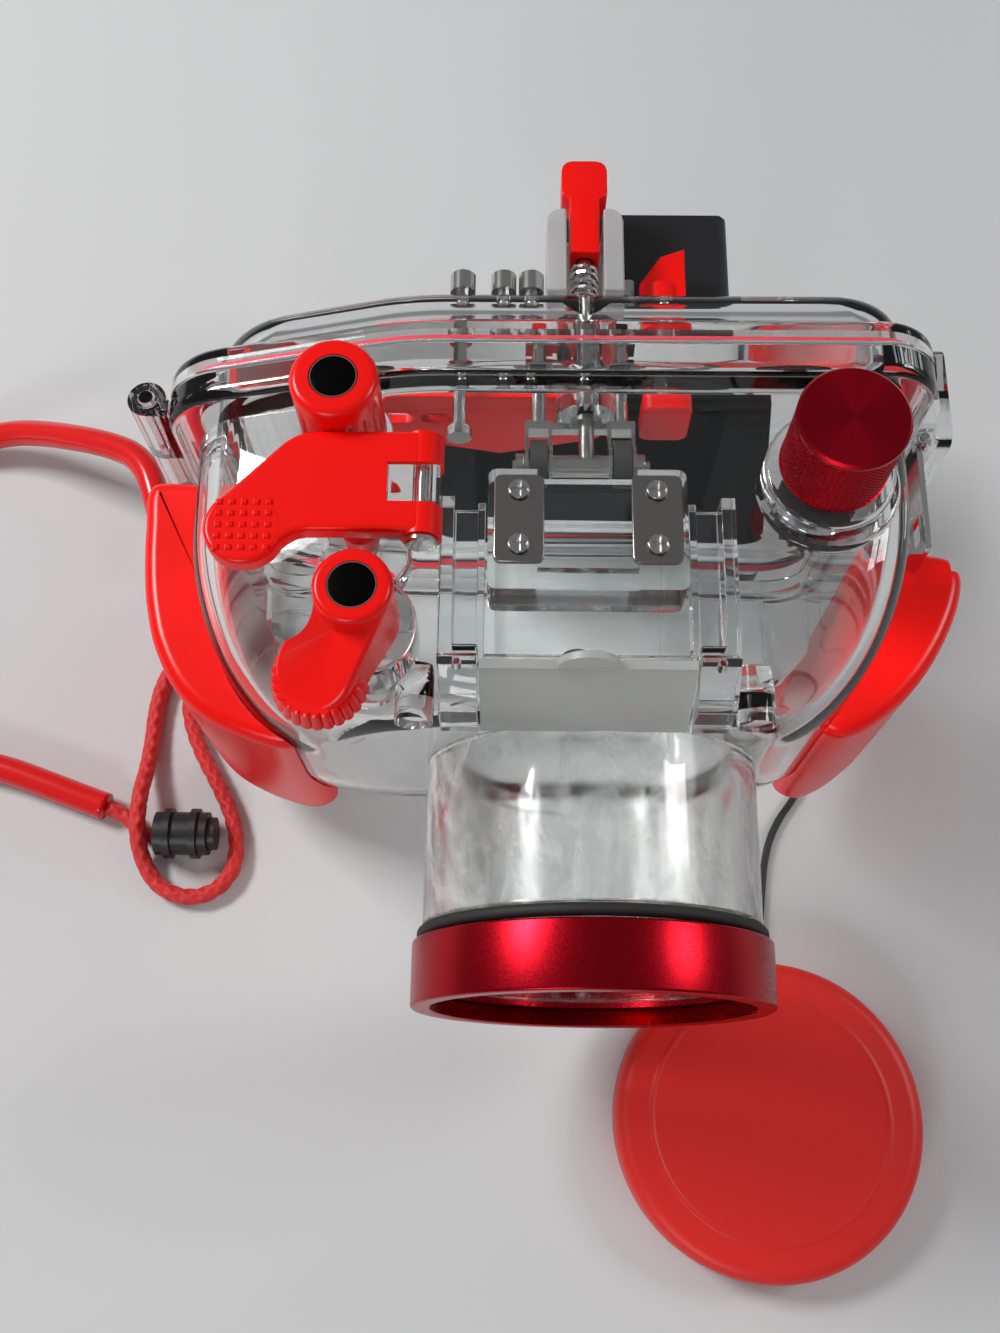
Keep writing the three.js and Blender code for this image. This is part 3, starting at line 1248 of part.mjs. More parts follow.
// Lens cap: an open cup lying on its rim, with a raised ring on its face
function lensCap() {
  const ridgeInner = cap.ridge - cap.ridgeWidth;
  const roofUnder = cap.height - cap.roof;
  const soft = cap.shoulder / 3;
  return turned([
    [0, roofUnder], [cap.bore - cap.shoulder / 2, roofUnder], [cap.bore, roofUnder - cap.shoulder / 2],
    [cap.bore, 0],
    [cap.radius, 0], [cap.radius, cap.height - cap.shoulder],
    [cap.radius - soft / 2, cap.height - 2 * soft],
    [cap.radius - 3 * (soft / 2), cap.height - soft / 2], [cap.radius - cap.shoulder, cap.height],
    [cap.ridge, cap.height], [cap.ridge, cap.height + cap.ridgeHeight],
    [ridgeInner, cap.height + cap.ridgeHeight],
    [ridgeInner, cap.height], [0, cap.height],
  ], 'z', cap.x, cap.y, sides.port);
}

// Cord lock: a ribbed barrel with a push button at its far end
function cordLock() {
  const left = strap.lockX - strap.lockHalf;
  const right = strap.lockX + strap.lockHalf;
  const ribs = [1, 3].map((i) => {
    const x = THREE.MathUtils.lerp(left, right, i / 4);
    return barX(strap.lockY, strap.lockRadius, strap.lockRadius, x - strap.lockRib, x + strap.lockRib);
  });
  return join(
    barX(strap.lockY, strap.lockRadius, strap.lockRadius - strap.lockRib, left, right),
    barX(strap.lockY, strap.lockRadius, strap.lockButton, right - strap.lockRib, right + 2 * strap.lockRib),
    ...ribs,
  );
}

// The whole assembly
function housing() {
  const group = new THREE.Group();
  group.add(
    node('front_case', frontCase(), paint.clear),
    node('port_tube', portTube(), paint.clear),
    node('port_o_ring', portSeal(), paint.rubber),
    node('port_ring', portRing(), paint.anodised),
    node('port_glass', portGlass(), paint.clear),
    node('shoe_block', shoeBlock(), paint.clear),
    node('shoe_plate_left', shoePlate(-1), paint.nickel),
    node('shoe_plate_right', shoePlate(1), paint.nickel),
    ...screwSpots().map((spot, i) => node(`shoe_screw_${i + 1}`, shoeScrew(spot), paint.steel)),
    node('diffuser_frame', diffuserFrame(), paint.clear),
    node('diffuser_panel', diffuserPanel(), paint.frosted),
    node('mode_dial_knob', dialKnob(), paint.red),
    node('mode_dial_cap', dialCap(), paint.black),
    node('mode_dial_shaft', dialShaft(), paint.rubber),
    node('shutter_lever', shutterLever(), paint.red),
    node('lever_pin', leverPinSolid(), paint.steel),
    node('shutter_plunger', plungerSolid(), paint.red),
    node('shutter_spring', shutterSpring(), paint.steel),
    node('zoom_lever', zoomLever(), paint.red),
    node('zoom_lever_cap', zoomLeverCap(), paint.black),
    node('zoom_lever_shaft', zoomLeverShaft(), paint.steel),
    node('zoom_knob', zoomKnob(), paint.anodised),
    node('knob_washer', knobWasher(), paint.nickel),
    node('zoom_knob_shaft', zoomKnobShaft(), paint.black),
    node('hinge_pin', hingePin(), paint.steel),
    node('grip_left', gripSolid(leftGrip), paint.red),
    node('grip_right', gripSolid(rightGrip), paint.red),
    node('tripod_bush', tripodBush(), paint.steel),
    node('rear_case', rearCase(), paint.clear),
    node('main_o_ring', mainSeal(), paint.silicone),
    node('lcd_hood', lcdHood(), paint.black),
    node('inner_backing', innerBacking(), paint.black),
    node('inner_red_panel', innerRedPanel(), paint.red),
    node('push_guard', pushGuard(), paint.milky),
    node('push_paddle', pushPaddle(), paint.red),
    node('push_spring', spring(returnCoil, 'y', pusher.x, controlHeight, door.back + gap, returnCoil.back),
      paint.steel),
    node('push_carriage', pushCarriage(), paint.steel),
    node('roller_left', rollerSolid(roller.left), paint.rubber),
    node('roller_right', rollerSolid(roller.right), paint.rubber),
    ...backButtons.map((spec) => node(spec.name, rearButton(spec), paint.steel)),
    node('rear_button_4', rearPost(), paint.steel),
    node('rear_flag', rearFlag(), paint.red),
    node('flag_rod', flagRod(), paint.steel),
    node('flag_block', flagBlock(), paint.red),
    node('latch_lever', latchLever(), paint.clear),
    node('latch_hook', latchHook(), paint.steel),
    node('latch_pin', latchPin(), paint.steel),
    node('hook_pin', hookPin(), paint.steel),
    node('lens_cap', lensCap(), paint.softRed),
    node('strap_tube', cordAlong(strapRoute, strap.radius, strap.sides, cordSteps.strap), paint.red),
    node('strap_lead', cordAlong(leadRoute, strap.cord, strap.sides, cordSteps.lead), paint.red),
    node('strap_loop', cordAlong(loopRoute, strap.cord, strap.sides, cordSteps.loop), paint.red),
    node('cord_lock', cordLock(), paint.black),
    node('tether', cordAlong(tetherRoute, tether.radius, tether.sides, cordSteps.tether), paint.black),
  );
  return group;
}

export default housing();
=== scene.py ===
"""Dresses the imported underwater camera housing: finishes, cords, smooth turned pieces, light and camera.

Lengths in the tables are millimetres, as in the CAD source, and become metres where a piece is made.
"""
import math

import bmesh
import bpy
from mathutils import Matrix, Vector


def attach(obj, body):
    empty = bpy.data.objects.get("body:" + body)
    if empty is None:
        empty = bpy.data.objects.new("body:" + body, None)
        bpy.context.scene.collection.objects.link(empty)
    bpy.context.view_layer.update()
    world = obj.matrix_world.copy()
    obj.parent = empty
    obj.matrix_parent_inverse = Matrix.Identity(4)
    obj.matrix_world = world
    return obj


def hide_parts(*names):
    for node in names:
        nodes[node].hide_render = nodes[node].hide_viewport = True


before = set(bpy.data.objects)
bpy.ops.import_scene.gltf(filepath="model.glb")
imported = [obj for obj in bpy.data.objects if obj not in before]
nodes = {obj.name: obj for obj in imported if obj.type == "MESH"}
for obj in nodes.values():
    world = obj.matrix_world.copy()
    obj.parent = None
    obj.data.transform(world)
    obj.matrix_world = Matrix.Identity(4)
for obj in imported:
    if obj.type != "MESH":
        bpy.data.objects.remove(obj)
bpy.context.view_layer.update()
scene = bpy.context.scene

MM = 0.001
LENS_Z = 60.0
TAU = 2 * math.pi

# Axes of the controls, as (x, y) for what stands upright and (x, z) for what lies along Y
KNOB, DIAL, SHUTTER, ZOOM = (42.7, -10.8), (-49.4, -2.1), (-44.3, -27.4), (-44.3, -41.9)
HINGE, LATCH = (-93.3, 14.15), (68.5, 28)
LEVER, PUSH, FLAG = (-33.2, 124.3), (-2.4, 100), (14.2, 95)
BUTTON_X, BUTTON_Z = (-28, -19.4, -13.6), 100
KNOB_TOP, DIAL_TOP, ZOOM_TOP = 134.9, 132.9, 131.4
DISC_R = 4.1


# Camera, at the photograph's place
CAMERA_AT = (-16.387, -134.473, 347.742)
CAMERA_PITCH = math.radians(19.814)
CAMERA_YAW = math.radians(1.798)
CAMERA_ROLL = math.radians(-1.174)
CAMERA_LENS = 37.36
CAMERA_SENSOR = 36
CAMERA_CLIP = (0.01, 20)


def make_camera():
    yaw = Matrix.Rotation(CAMERA_YAW, 3, "Z")
    right = yaw @ Vector((1, 0, 0))
    up = yaw @ Vector((0, math.cos(CAMERA_PITCH), math.sin(CAMERA_PITCH)))
    ahead = yaw @ Vector((0, math.sin(CAMERA_PITCH), -math.cos(CAMERA_PITCH)))
    c, s = math.cos(CAMERA_ROLL), math.sin(CAMERA_ROLL)
    right, up = c * right + s * up, c * up - s * right
    data = bpy.data.cameras.new("camera")
    data.lens = CAMERA_LENS
    data.sensor_width = CAMERA_SENSOR
    data.clip_start, data.clip_end = CAMERA_CLIP
    cam = bpy.data.objects.new("camera", data)
    scene.collection.objects.link(cam)
    columns = Matrix((right, up, -ahead)).transposed().to_4x4()
    cam.matrix_world = Matrix.Translation(Vector(CAMERA_AT) * MM) @ columns
    scene.camera = cam


make_camera()


# Materials
EVEN = (1, 1, 1)
NOISE_REACH = (0.3, 0.7)
CLEAR_SHADOW = (0.86, 0.87, 0.87, 1)
DRIED_WATER = (0.72, 0.72, 0.7, 1)


def material(name, color, roughness, metallic=0.0, **sockets):
    mat = bpy.data.materials.new(name)
    mat.use_nodes = True
    shader = mat.node_tree.nodes["Principled BSDF"]
    shader.inputs["Base Color"].default_value = (*color, 1)
    shader.inputs["Roughness"].default_value = roughness
    shader.inputs["Metallic"].default_value = metallic
    for key, value in sockets.items():
        shader.inputs[key.replace("_", " ")].default_value = value
    return mat


def new_node(mat, kind, **inputs):
    node = mat.node_tree.nodes.new(kind)
    for key, value in inputs.items():
        node.inputs[key].default_value = value
    return node


def object_coords(mat, scale):
    coords = new_node(mat, "ShaderNodeTexCoord")
    mapping = new_node(mat, "ShaderNodeMapping", Scale=scale)
    mat.node_tree.links.new(coords.outputs["Object"], mapping.inputs["Vector"])
    return mapping.outputs["Vector"]


def noise_bump(mat, scale, strength, distance, stretch=EVEN):
    """Gives a finish its fine unevenness."""
    noise = new_node(mat, "ShaderNodeTexNoise", Scale=scale, Detail=2.0)
    bump = new_node(mat, "ShaderNodeBump", Strength=strength, Distance=distance)
    tree = mat.node_tree
    tree.links.new(object_coords(mat, stretch), noise.inputs["Vector"])
    tree.links.new(noise.outputs["Fac"], bump.inputs["Height"])
    tree.links.new(bump.outputs["Normal"], tree.nodes["Principled BSDF"].inputs["Normal"])


def spread_noise(mat, noise, between, least, most, stretch=EVEN):
    """A noise texture's value, which goes from least to most where the noise goes between two values."""
    spread = new_node(mat, "ShaderNodeMapRange")
    for key, value in zip(("From Min", "From Max", "To Min", "To Max"), (*between, least, most)):
        spread.inputs[key].default_value = value
    links = mat.node_tree.links
    links.new(object_coords(mat, stretch), noise.inputs["Vector"])
    links.new(noise.outputs["Fac"], spread.inputs["Value"])
    return spread.outputs["Result"]


def vary_roughness(mat, scale, low, high):
    """Lets the roughness wander between two values over the surface."""
    noise = new_node(mat, "ShaderNodeTexNoise", Scale=scale, Detail=4.0)
    wander = spread_noise(mat, noise, NOISE_REACH, low, high)
    mat.node_tree.links.new(wander, mat.node_tree.nodes["Principled BSDF"].inputs["Roughness"])


def lit_through(mat):
    """Lets light pass a clear material on its way to a surface, so that its shadow stays thin."""
    tree = mat.node_tree
    path = new_node(mat, "ShaderNodeLightPath")
    thin = new_node(mat, "ShaderNodeBsdfTransparent", Color=CLEAR_SHADOW)
    mix = new_node(mat, "ShaderNodeMixShader")
    tree.links.new(path.outputs["Is Shadow Ray"], mix.inputs["Fac"])
    tree.links.new(tree.nodes["Principled BSDF"].outputs["BSDF"], mix.inputs[1])
    tree.links.new(thin.outputs["BSDF"], mix.inputs[2])
    tree.links.new(mix.outputs["Shader"], tree.nodes["Material Output"].inputs["Surface"])


def smudged(mat, scale, stretch, low, high, weight):
    """Wipes of dried water: patches where the clear plastic turns whitish and rough."""
    noise = new_node(mat, "ShaderNodeTexNoise", Scale=scale, Detail=6.0, Roughness=0.6, Distortion=1.6)
    patches = spread_noise(mat, noise, (low, high), 0.0, weight, stretch)
    haze = new_node(mat, "ShaderNodeBsdfDiffuse", Color=DRIED_WATER)
    mix = new_node(mat, "ShaderNodeMixShader")
    links = mat.node_tree.links
    surface = mat.node_tree.nodes["Material Output"].inputs["Surface"]
    feed = surface.links[0].from_socket
    links.new(patches, mix.inputs["Fac"])
    links.new(feed, mix.inputs[1])
    links.new(haze.outputs["BSDF"], mix.inputs[2])
    links.new(mix.outputs["Shader"], surface)


clear = material("clear_polycarbonate", (0.93, 0.945, 0.94), 0.02, IOR=1.5, Transmission_Weight=1.0)
lit_through(clear)
port_clear = material("port_polycarbonate", (0.9, 0.91, 0.905), 0.05, IOR=1.5, Transmission_Weight=1.0)
vary_roughness(port_clear, 60, 0.02, 0.2)
lit_through(port_clear)
smudged(port_clear, 75, (1, 0.5, 1), 0.5, 0.66, 0.42)
window = material("port_window", (0.96, 0.98, 0.98), 0.01, IOR=1.45, Transmission_Weight=1.0)
lit_through(window)
frosted = material("frosted_panel", (0.8, 0.8, 0.76), 0.4, IOR=1.45, Transmission_Weight=0.62,
                   Subsurface_Weight=0.2)
milky = material("milky_plastic", (0.86, 0.85, 0.84), 0.3, IOR=1.45, Transmission_Weight=0.6)
red = material("red_plastic", (0.86, 0.004, 0.002), 0.26, IOR=1.46, Specular_IOR_Level=0.34)
noise_bump(red, 420, 0.06, 0.0002)
soft_red = material("soft_red_plastic", (0.72, 0.02, 0.014), 0.42, IOR=1.42)
noise_bump(soft_red, 900, 0.12, 0.0002)
anodised = material("red_anodised", (0.42, 0.006, 0.014), 0.3, 1.0)
vary_roughness(anodised, 2600, 0.24, 0.34)
noise_bump(anodised, 2500, 0.05, 0.0001)
turned_top = material("turned_red_metal", (0.5, 0.008, 0.02), 0.26, 1.0, Anisotropic=0.7)
silicone = material("red_silicone", (0.62, 0.03, 0.05), 0.4, IOR=1.42)
nickel = material("nickel_plate", (0.36, 0.335, 0.3), 0.22, 1.0)
noise_bump(nickel, 90, 0.06, 0.0003, (1, 12, 1))
steel = material("turned_steel", (0.56, 0.55, 0.53), 0.2, 1.0)
bright_steel = material("bright_steel", (0.7, 0.69, 0.67), 0.14, 1.0)
black = material("black_plastic", (0.012, 0.012, 0.013), 0.42)
noise_bump(black, 700, 0.15, 0.0002)
disc_black = material("black_disc", (0.0015, 0.0015, 0.0015), 0.3, Specular_IOR_Level=0.04)
rubber = material("black_rubber", (0.014, 0.013, 0.013), 0.65)
sleeve = material("red_sleeve", (0.7, 0.008, 0.008), 0.2, IOR=1.48)
braid = material("red_braid", (0.6, 0.012, 0.012), 0.6, Sheen_Weight=0.2)
tether_black = material("tether_black", (0.015, 0.015, 0.015), 0.5)

SHOE_SCREWS = [f"shoe_screw_{i}" for i in range(1, 5)]
REAR_BUTTONS = [f"rear_button_{i}" for i in range(1, 5)]
FINISHES = {
    clear: ["front_case", "shoe_block", "diffuser_frame", "rear_case", "latch_lever", "hinge_pin"],
    port_clear: ["port_tube"],
    window: ["port_glass"],
    frosted: ["diffuser_panel"],
    milky: ["push_guard"],
    red: ["mode_dial_knob", "shutter_lever", "shutter_plunger", "zoom_lever", "grip_left", "grip_right",
          "inner_red_panel", "push_paddle", "rear_flag", "flag_block"],
    soft_red: ["lens_cap"],
    anodised: ["port_ring", "zoom_knob"],
    silicone: ["main_o_ring"],
    sleeve: ["strap_tube"],
    braid: ["strap_lead", "strap_loop"],
    nickel: ["shoe_plate_left", "shoe_plate_right", "knob_washer"],
    steel: [*SHOE_SCREWS, *REAR_BUTTONS, "lever_pin", "zoom_lever_shaft", "tripod_bush", "push_carriage",
            "flag_rod", "latch_pin", "hook_pin"],
    bright_steel: ["shutter_spring", "push_spring", "latch_hook"],
    black: ["zoom_knob_shaft", "lcd_hood", "inner_backing", "cord_lock"],
    disc_black: ["mode_dial_cap", "zoom_lever_cap"],
    rubber: ["port_o_ring", "mode_dial_shaft", "roller_left", "roller_right"],
    tether_black: ["tether"],
}


WELD_DISTANCE = 0.000002
SMOOTH_DEGREES, BEVEL_DEGREES = 33, 38


def prepare(obj):
    """Makes a CAD node's shading smooth and joins its doubled corners, by flags and a modifier alone."""
    for face in obj.data.polygons:
        face.use_smooth = True
    for layer in [a for a in obj.data.attributes if a.name == "custom_normal"]:
        obj.data.attributes.remove(layer)
    weld = obj.modifiers.new("weld", "WELD")
    weld.merge_threshold = WELD_DISTANCE


def smooth(obj):
    """Rounds the shading of a CAD node across its flatter edges."""
    prepare(obj)
    split = obj.modifiers.new("split", "EDGE_SPLIT")
    split.split_angle = math.radians(SMOOTH_DEGREES)


def soften(obj, width):
    """Rounds the edges of a box-like CAD node."""
    prepare(obj)
    plain = obj.modifiers.new("plain", "DECIMATE")
    plain.decimate_type = "DISSOLVE"
    plain.angle_limit = math.radians(1)
    bevel = obj.modifiers.new("bevel", "BEVEL")
    bevel.width = width * MM
    bevel.segments = 2
    bevel.limit_method = "ANGLE"
    bevel.angle_limit = math.radians(BEVEL_DEGREES)
    bevel.harden_normals = True


# Widths of the rounded edges of the box-like nodes that are shown as they are
SOFT_EDGES = {
    "shoe_block": 0.4, "diffuser_frame": 0.35, "shoe_plate_left": 0.3, "shoe_plate_right": 0.3,
    "latch_lever": 0.5, "latch_hook": 0.25, "lcd_hood": 0.5, "push_guard": 0.5, "push_paddle": 0.6,
    "rear_flag": 0.5, "flag_block": 0.3, "inner_red_panel": 0.3, **dict.fromkeys(SHOE_SCREWS, 0.12),
}
for finish, names in FINISHES.items():
    for node_name in names:
        nodes[node_name].data.materials.clear()
        nodes[node_name].data.materials.append(finish)
        if node_name in SOFT_EDGES:
            soften(nodes[node_name], SOFT_EDGES[node_name])
        else:
            smooth(nodes[node_name])


# Making pieces
def in_metres(spots):
    return [tuple(c * MM for c in spot) for spot in spots]


def place(name, mesh, finish, body, replaced):
    """Puts a mesh in the scene on its body, with its finish."""
    mesh.materials.clear()
    mesh.materials.append(finish)
    for face in mesh.polygons:
        face.use_smooth = True
    obj = bpy.data.objects.new(name, mesh)
    scene.collection.objects.link(obj)
    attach(obj, body)
    if replaced:
        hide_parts(*replaced)
    return obj


def mesh_object(name, shape, finish, body, slot, *replaced):
    """Puts a shape, a pair of points and faces, in the scene as it is."""
    mesh = bpy.data.meshes.new(name)
    mesh.from_pydata(in_metres(shape[0]), [], shape[1])
    mesh.validate()
    return place(name, mesh, finish, body, replaced)


def sharpen(obj, degrees, weighted=False):
    """Keeps edges above an angle sharp; weighted leaves large flat faces flat beside rounded edges."""
    split = obj.modifiers.new("split", "EDGE_SPLIT")
    split.split_angle = math.radians(degrees)
    if weighted:
        flat = obj.modifiers.new("flat", "WEIGHTED_NORMAL")
        flat.mode = "FACE_AREA_WITH_ANGLE"
        flat.weight = 100


def bands(rings, count, closed=False):
    """Faces between neighbouring rings of count points each."""
    return [(i * count + k, i * count + (k + 1) % count,
             (i + 1) % rings * count + (k + 1) % count, (i + 1) % rings * count + k)
            for i in range(rings if closed else rings - 1) for k in range(count)]


def lathe(profile, axis, centre, count, closed=True):
    """Points and faces of a profile of (radius, station) pairs turned about an axis."""
    spots, faces = [], []
    n = len(profile)
    for k in range(count):
        c, s = math.cos(TAU * k / count), math.sin(TAU * k / count)
        for radius, station in profile:
            u, v = centre[0] + radius * c, centre[1] + radius * s
            spots.append({"x": (station, u, v), "y": (u, station, v), "z": (u, v, station)}[axis])
    for k in range(count):
        for i in range(n if closed else n - 1):
            a, b = k * n + i, k * n + (i + 1) % n
            c, d = ((k + 1) % count) * n + (i + 1) % n, ((k + 1) % count) * n + i
            faces.append((a, b, c, d) if axis == "y" else (d, c, b, a))
    return spots, faces


def turned_over(shape):
    return shape[0], [tuple(reversed(face)) for face in shape[1]]


def catmull(route, steps):
    """The CAD source's centripetal curve through a route's points, at even shares of the parameter."""
    pts = [Vector(p) for p in route]
    out = []
    for step in range(steps + 1):
        t = (len(pts) - 1) * step / steps
        i = min(int(t), len(pts) - 2)
        w = t - i
        p1, p2 = pts[i], pts[i + 1]
        p0 = pts[i - 1] if i > 0 else p1 + (p1 - p2)
        p3 = pts[i + 2] if i + 2 < len(pts) else p2 + (p2 - p1)
        d0, d1, d2 = ((b - a).length ** 0.5 for a, b in ((p0, p1), (p1, p2), (p2, p3)))
        m1 = (p1 - p0) / d0 - (p2 - p0) / (d0 + d1) + (p2 - p1) / d1
        m2 = (p2 - p1) / d1 - (p3 - p1) / (d1 + d2) + (p3 - p2) / d2
        m1, m2 = m1 * d1, m2 * d1
        out.append((2 * p1 - 2 * p2 + m1 + m2) * w ** 3 + (-3 * p1 + 3 * p2 - 2 * m1 - m2) * w ** 2
                   + m1 * w + p1)
    return out


def tube(points, radius_at, count):
    """A closed tube along points; radius_at gives the radius for a distance along and an angle around."""
    spots = []
    side = None
    along = 0.0
    for i, p in enumerate(points):
        ahead = (points[min(i + 1, len(points) - 1)] - points[max(i - 1, 0)]).normalized()
        if side is None:
            side = ahead.orthogonal().normalized()
        side = (side - ahead * side.dot(ahead)).normalized()
        other = ahead.cross(side)
        if i:
            along += (p - points[i - 1]).length
        for k in range(count):
            angle = TAU * k / count
            reach = radius_at(along, angle)
            spots.append(p + side * (reach * math.cos(angle)) + other * (reach * math.sin(angle)))
    last = (len(points) - 1) * count
    ends = [tuple(reversed(range(count))), tuple(range(last, last + count))]
    return spots, bands(len(points), count) + ends


# Cords
STRAP_R, CORD_R, TETHER_R = 3.5, 2.1, 0.9
STRAP_ROUTE = [
    (-98.8, 11, 29), (-101.5, 11.2, 29), (-104.6, 14.6, 29.2), (-106.8, 20, 29.6), (-109, 26.6, 30),
    (-111.8, 33, 29.6), (-116, 38, 28.2), (-121.4, 41.4, 26.2), (-128.2, 44.6, 23.6),
    (-136.4, 48, 19.8), (-145, 51.4, 15.4), (-154, 54, 11), (-163, 54.4, 7.6),
    (-172, 52.6, 5.2), (-181, 47.6, 4), (-189, 39.6, 3.6), (-195, 29, 3.6), (-198, 16, 3.6), (-198, 2, 3.6),
    (-194.6, -11, 3.6), (-187.6, -22, 3.6), (-178, -30, 3.6), (-167, -35, 3.6), (-156, -38, 3.6),
    (-147, -40.2, 3.6), (-137, -43.6, 3.6), (-128, -46.9, 3.6), (-120.4, -49.6, 3.6),
]
LEAD_ROUTE = [
    (-120, -49.8, 3.6), (-117, -51, 3), (-113.4, -53.4, 2.6), (-111, -55.8, 2.7), (-108.9, -56.9, 3.2),
    (-106.5, -57, 3.4),
]
LOOP_ROUTE = [
    (-84.3, 1.2, 2.6), (-89, 1.2, 2.5), (-95, -0.2, 2.4), (-101, -4, 2.4), (-106, -9.6, 2.4),
    (-109.2, -16.4, 2.4), (-110.4, -24, 2.4), (-110.6, -32, 2.6), (-110.8, -40, 4.4), (-111, -46, 7),
    (-111, -52, 8), (-110.8, -57.6, 7),
    (-109.4, -63.6, 4), (-106.4, -68.4, 2.4), (-101.8, -71.4, 2.4), (-96, -72.2, 2.4), (-90.6, -70, 2.4),
    (-87.2, -65.2, 2.4), (-86.6, -59, 2.4), (-88.4, -51.4, 2.4), (-92.6, -43, 2.4), (-97.4, -34.6, 2.4),
    (-100.6, -27, 2.4), (-101.8, -20, 2.4), (-100.4, -13.6, 2.4), (-96.4, -8.6, 2.4), (-90.6, -5.8, 2.5),
    (-84.3, -5.2, 2.6),
]
TETHER_ROUTE = [
    (50.3, -16, 2), (52.6, -16.2, 1.9), (55.4, -19, 1.4), (57.6, -26, 1), (58.6, -34, 1), (57.5, -41.4, 1),
    (54.8, -46, 1), (51.9, -50, 1), (49, -55.6, 1), (47.2, -62, 1), (46.2, -69, 1), (45.4, -76, 1.1),
    (44.6, -81, 1.6), (43.8, -84.9, 2.6),
]


def braided(radius):
    """Two sets of strands that wind opposite ways, over and under each other."""
    strands, turn_per_mm, depth_share = 4, 1.5, 0.1

    def reach(along, angle):
        wind = along * turn_per_mm
        height = max(math.cos(strands * angle + wind), math.cos(strands * angle - wind))
        return radius * (1 - depth_share + depth_share * height)
    return reach


def cord_piece(name, route, steps, shape, count, finish, slot):
    points = catmull(route, steps)
    obj = mesh_object(name + "_cord", tube(points, shape, count), finish, "case", slot, name)


def plain(radius):
    return lambda along, angle: radius


lead_shape = tube(catmull(LEAD_ROUTE, 60), braided(CORD_R), 32)
lead = mesh_object("strap_lead_cord", lead_shape, braid, "case", "red_cord", "strap_lead")
cord_piece("strap_tube", STRAP_ROUTE, 260, plain(STRAP_R), 24, sleeve, "red_cord")
cord_piece("strap_loop", LOOP_ROUTE, 620, braided(CORD_R), 32, braid, "red_cord")
cord_piece("tether", TETHER_ROUTE, 120, plain(TETHER_R), 12, tether_black, "black")


# Turned pieces, smoother than the CAD's
ROUND_COUNT = 160


def arc(x, y, radius, start, end, steps):
    angles = [math.radians(start + (end - start) * i / steps) for i in range(steps + 1)]
    return [(x + radius * math.cos(a), y + radius * math.sin(a)) for a in angles]


def turned_on_lens(name, profile, finish, slot, node_name):
    shape = lathe(profile, "y", (0, LENS_Z), ROUND_COUNT)
    sharpen(mesh_object(name, shape, finish, "case", slot, node_name), 40)


def port_ring():
    turns, front, back, crest, depth = 8, -105.0, -101.2, 33.5, 0.35
    threads = [(crest - (i % 2) * depth, front + (back - front) * i / (2 * turns))
               for i in range(2 * turns, -1, -1)]
    profile = [(33.6, -91.9), (33.6, -100), (30, -100), (30, back), *threads,
               *arc(36.4, -104.4, 0.6, -90, 0, 5), *arc(36.5, -92.4, 0.5, 0, 90, 4)]
    turned_on_lens("port_ring_turned", profile, anodised, "red_metal", "port_ring")


def port_tube():
    profile = [(31, -96.8), (33, -96.8), (33.2, -96.6), (33.2, -88.6), (34.6, -88.6),
               *arc(34.4, -88, 0.6, -90, 0, 4), (35, -54.8), (32.6, -54.8), (32.6, -51.9), (31, -51.9)]
    turned_on_lens("port_tube_turned", profile, port_clear, "clear", "port_tube")


def zoom_knob():
    """A barrel with a fine diamond knurl between two plain edges."""
    (x, y), radius, low, high = KNOB, 10.2, 117.3, KNOB_TOP
    count, rows, starts, slant = 300, 150, 60, 0.95
    root = radius - 0.5
    spots = []
    for i in range(rows + 1):
        z = low + 0.8 + (high - 1.8 - low) * i / rows
        for k in range(count):
            angle = TAU * k / count
            one = abs((starts * angle / TAU + (z - low) * slant) % 1 - 0.5)
            two = abs((starts * angle / TAU - (z - low) * slant) % 1 - 0.5)
            reach = root + min(one, two)
            spots.append((x + reach * math.cos(angle), y + reach * math.sin(angle), z))
    knurl = spots, bands(rows + 1, count)
    mesh_object("zoom_knob_knurl", knurl, anodised, "zoom_side", "red_metal", "zoom_knob")
    core = [(0, high), (root, high), (radius, high - 0.5), (radius, high - 1.3), (root, high - 1.3),
            (root, low + 1), (radius, low + 0.8), (radius, low + 0.3), (radius - 0.3, low), (3, low),
            (3, low + 6), (0, low + 6)]
    shape = turned_over(lathe(core, "z", (x, y), 120, closed=False))
    sharpen(mesh_object("zoom_knob_core", shape, turned_top, "zoom_side", "red_metal"), 30)


def disc_rim(name, at, top, body):
    """The thin bright ring round a dial's black disc."""
    inner, outer, low, high = DISC_R + 0.02, DISC_R + 0.16, top - 0.4, top - 0.1
    shape = lathe([(inner, low), (outer, low), (outer, high), (inner, high)], "z", at, 64)
    sharpen(mesh_object(name, shape, bright_steel, body, "steel"), 40)


port_ring()
port_tube()
zoom_knob()
disc_rim("mode_dial_rim", DIAL, DIAL_TOP, "mode_dial")
disc_rim("zoom_lever_rim", ZOOM, ZOOM_TOP, "zoom_front")


# Clear shells, from the CAD source's own sizes with finer curves and softened edges
SHELL = {"left": -83.5, "right": 61, "bottom": 4, "top": 110.5, "knee": -38, "drop": 13, "wall": 4,
         "bottom_r": 15, "top_r": 10, "shoulder_r": 16, "knee_r": 60}
NOSE = {"back": -10, "front": -54.5, "left": 29, "right": 26, "top": 17, "bottom": 36,
        "rounding": 9, "knee": 0.7}
SILL = 9.4
FRONT_FLANGE = (8, 14)
OUTER_EDGE, INNER_EDGE = 2.2, 0.5
DOOR = {"front": 14.3, "flange_back": 20, "back": 35.5, "edge": 10}
FLANGE_SIZE = {**SHELL, "left": -89, "right": 66.5, "top": 119.5,
               "bottom_r": 16, "top_r": 13, "shoulder_r": 17}
DOOR_SIZE = {**SHELL, "left": -80, "right": 62}
SLOPE = SHELL["drop"] / (SHELL["knee"] - SHELL["left"])
HINGE_SIDE = -88.7
SLACK = 0.3
UNION, CUT = "UNION", "DIFFERENCE"

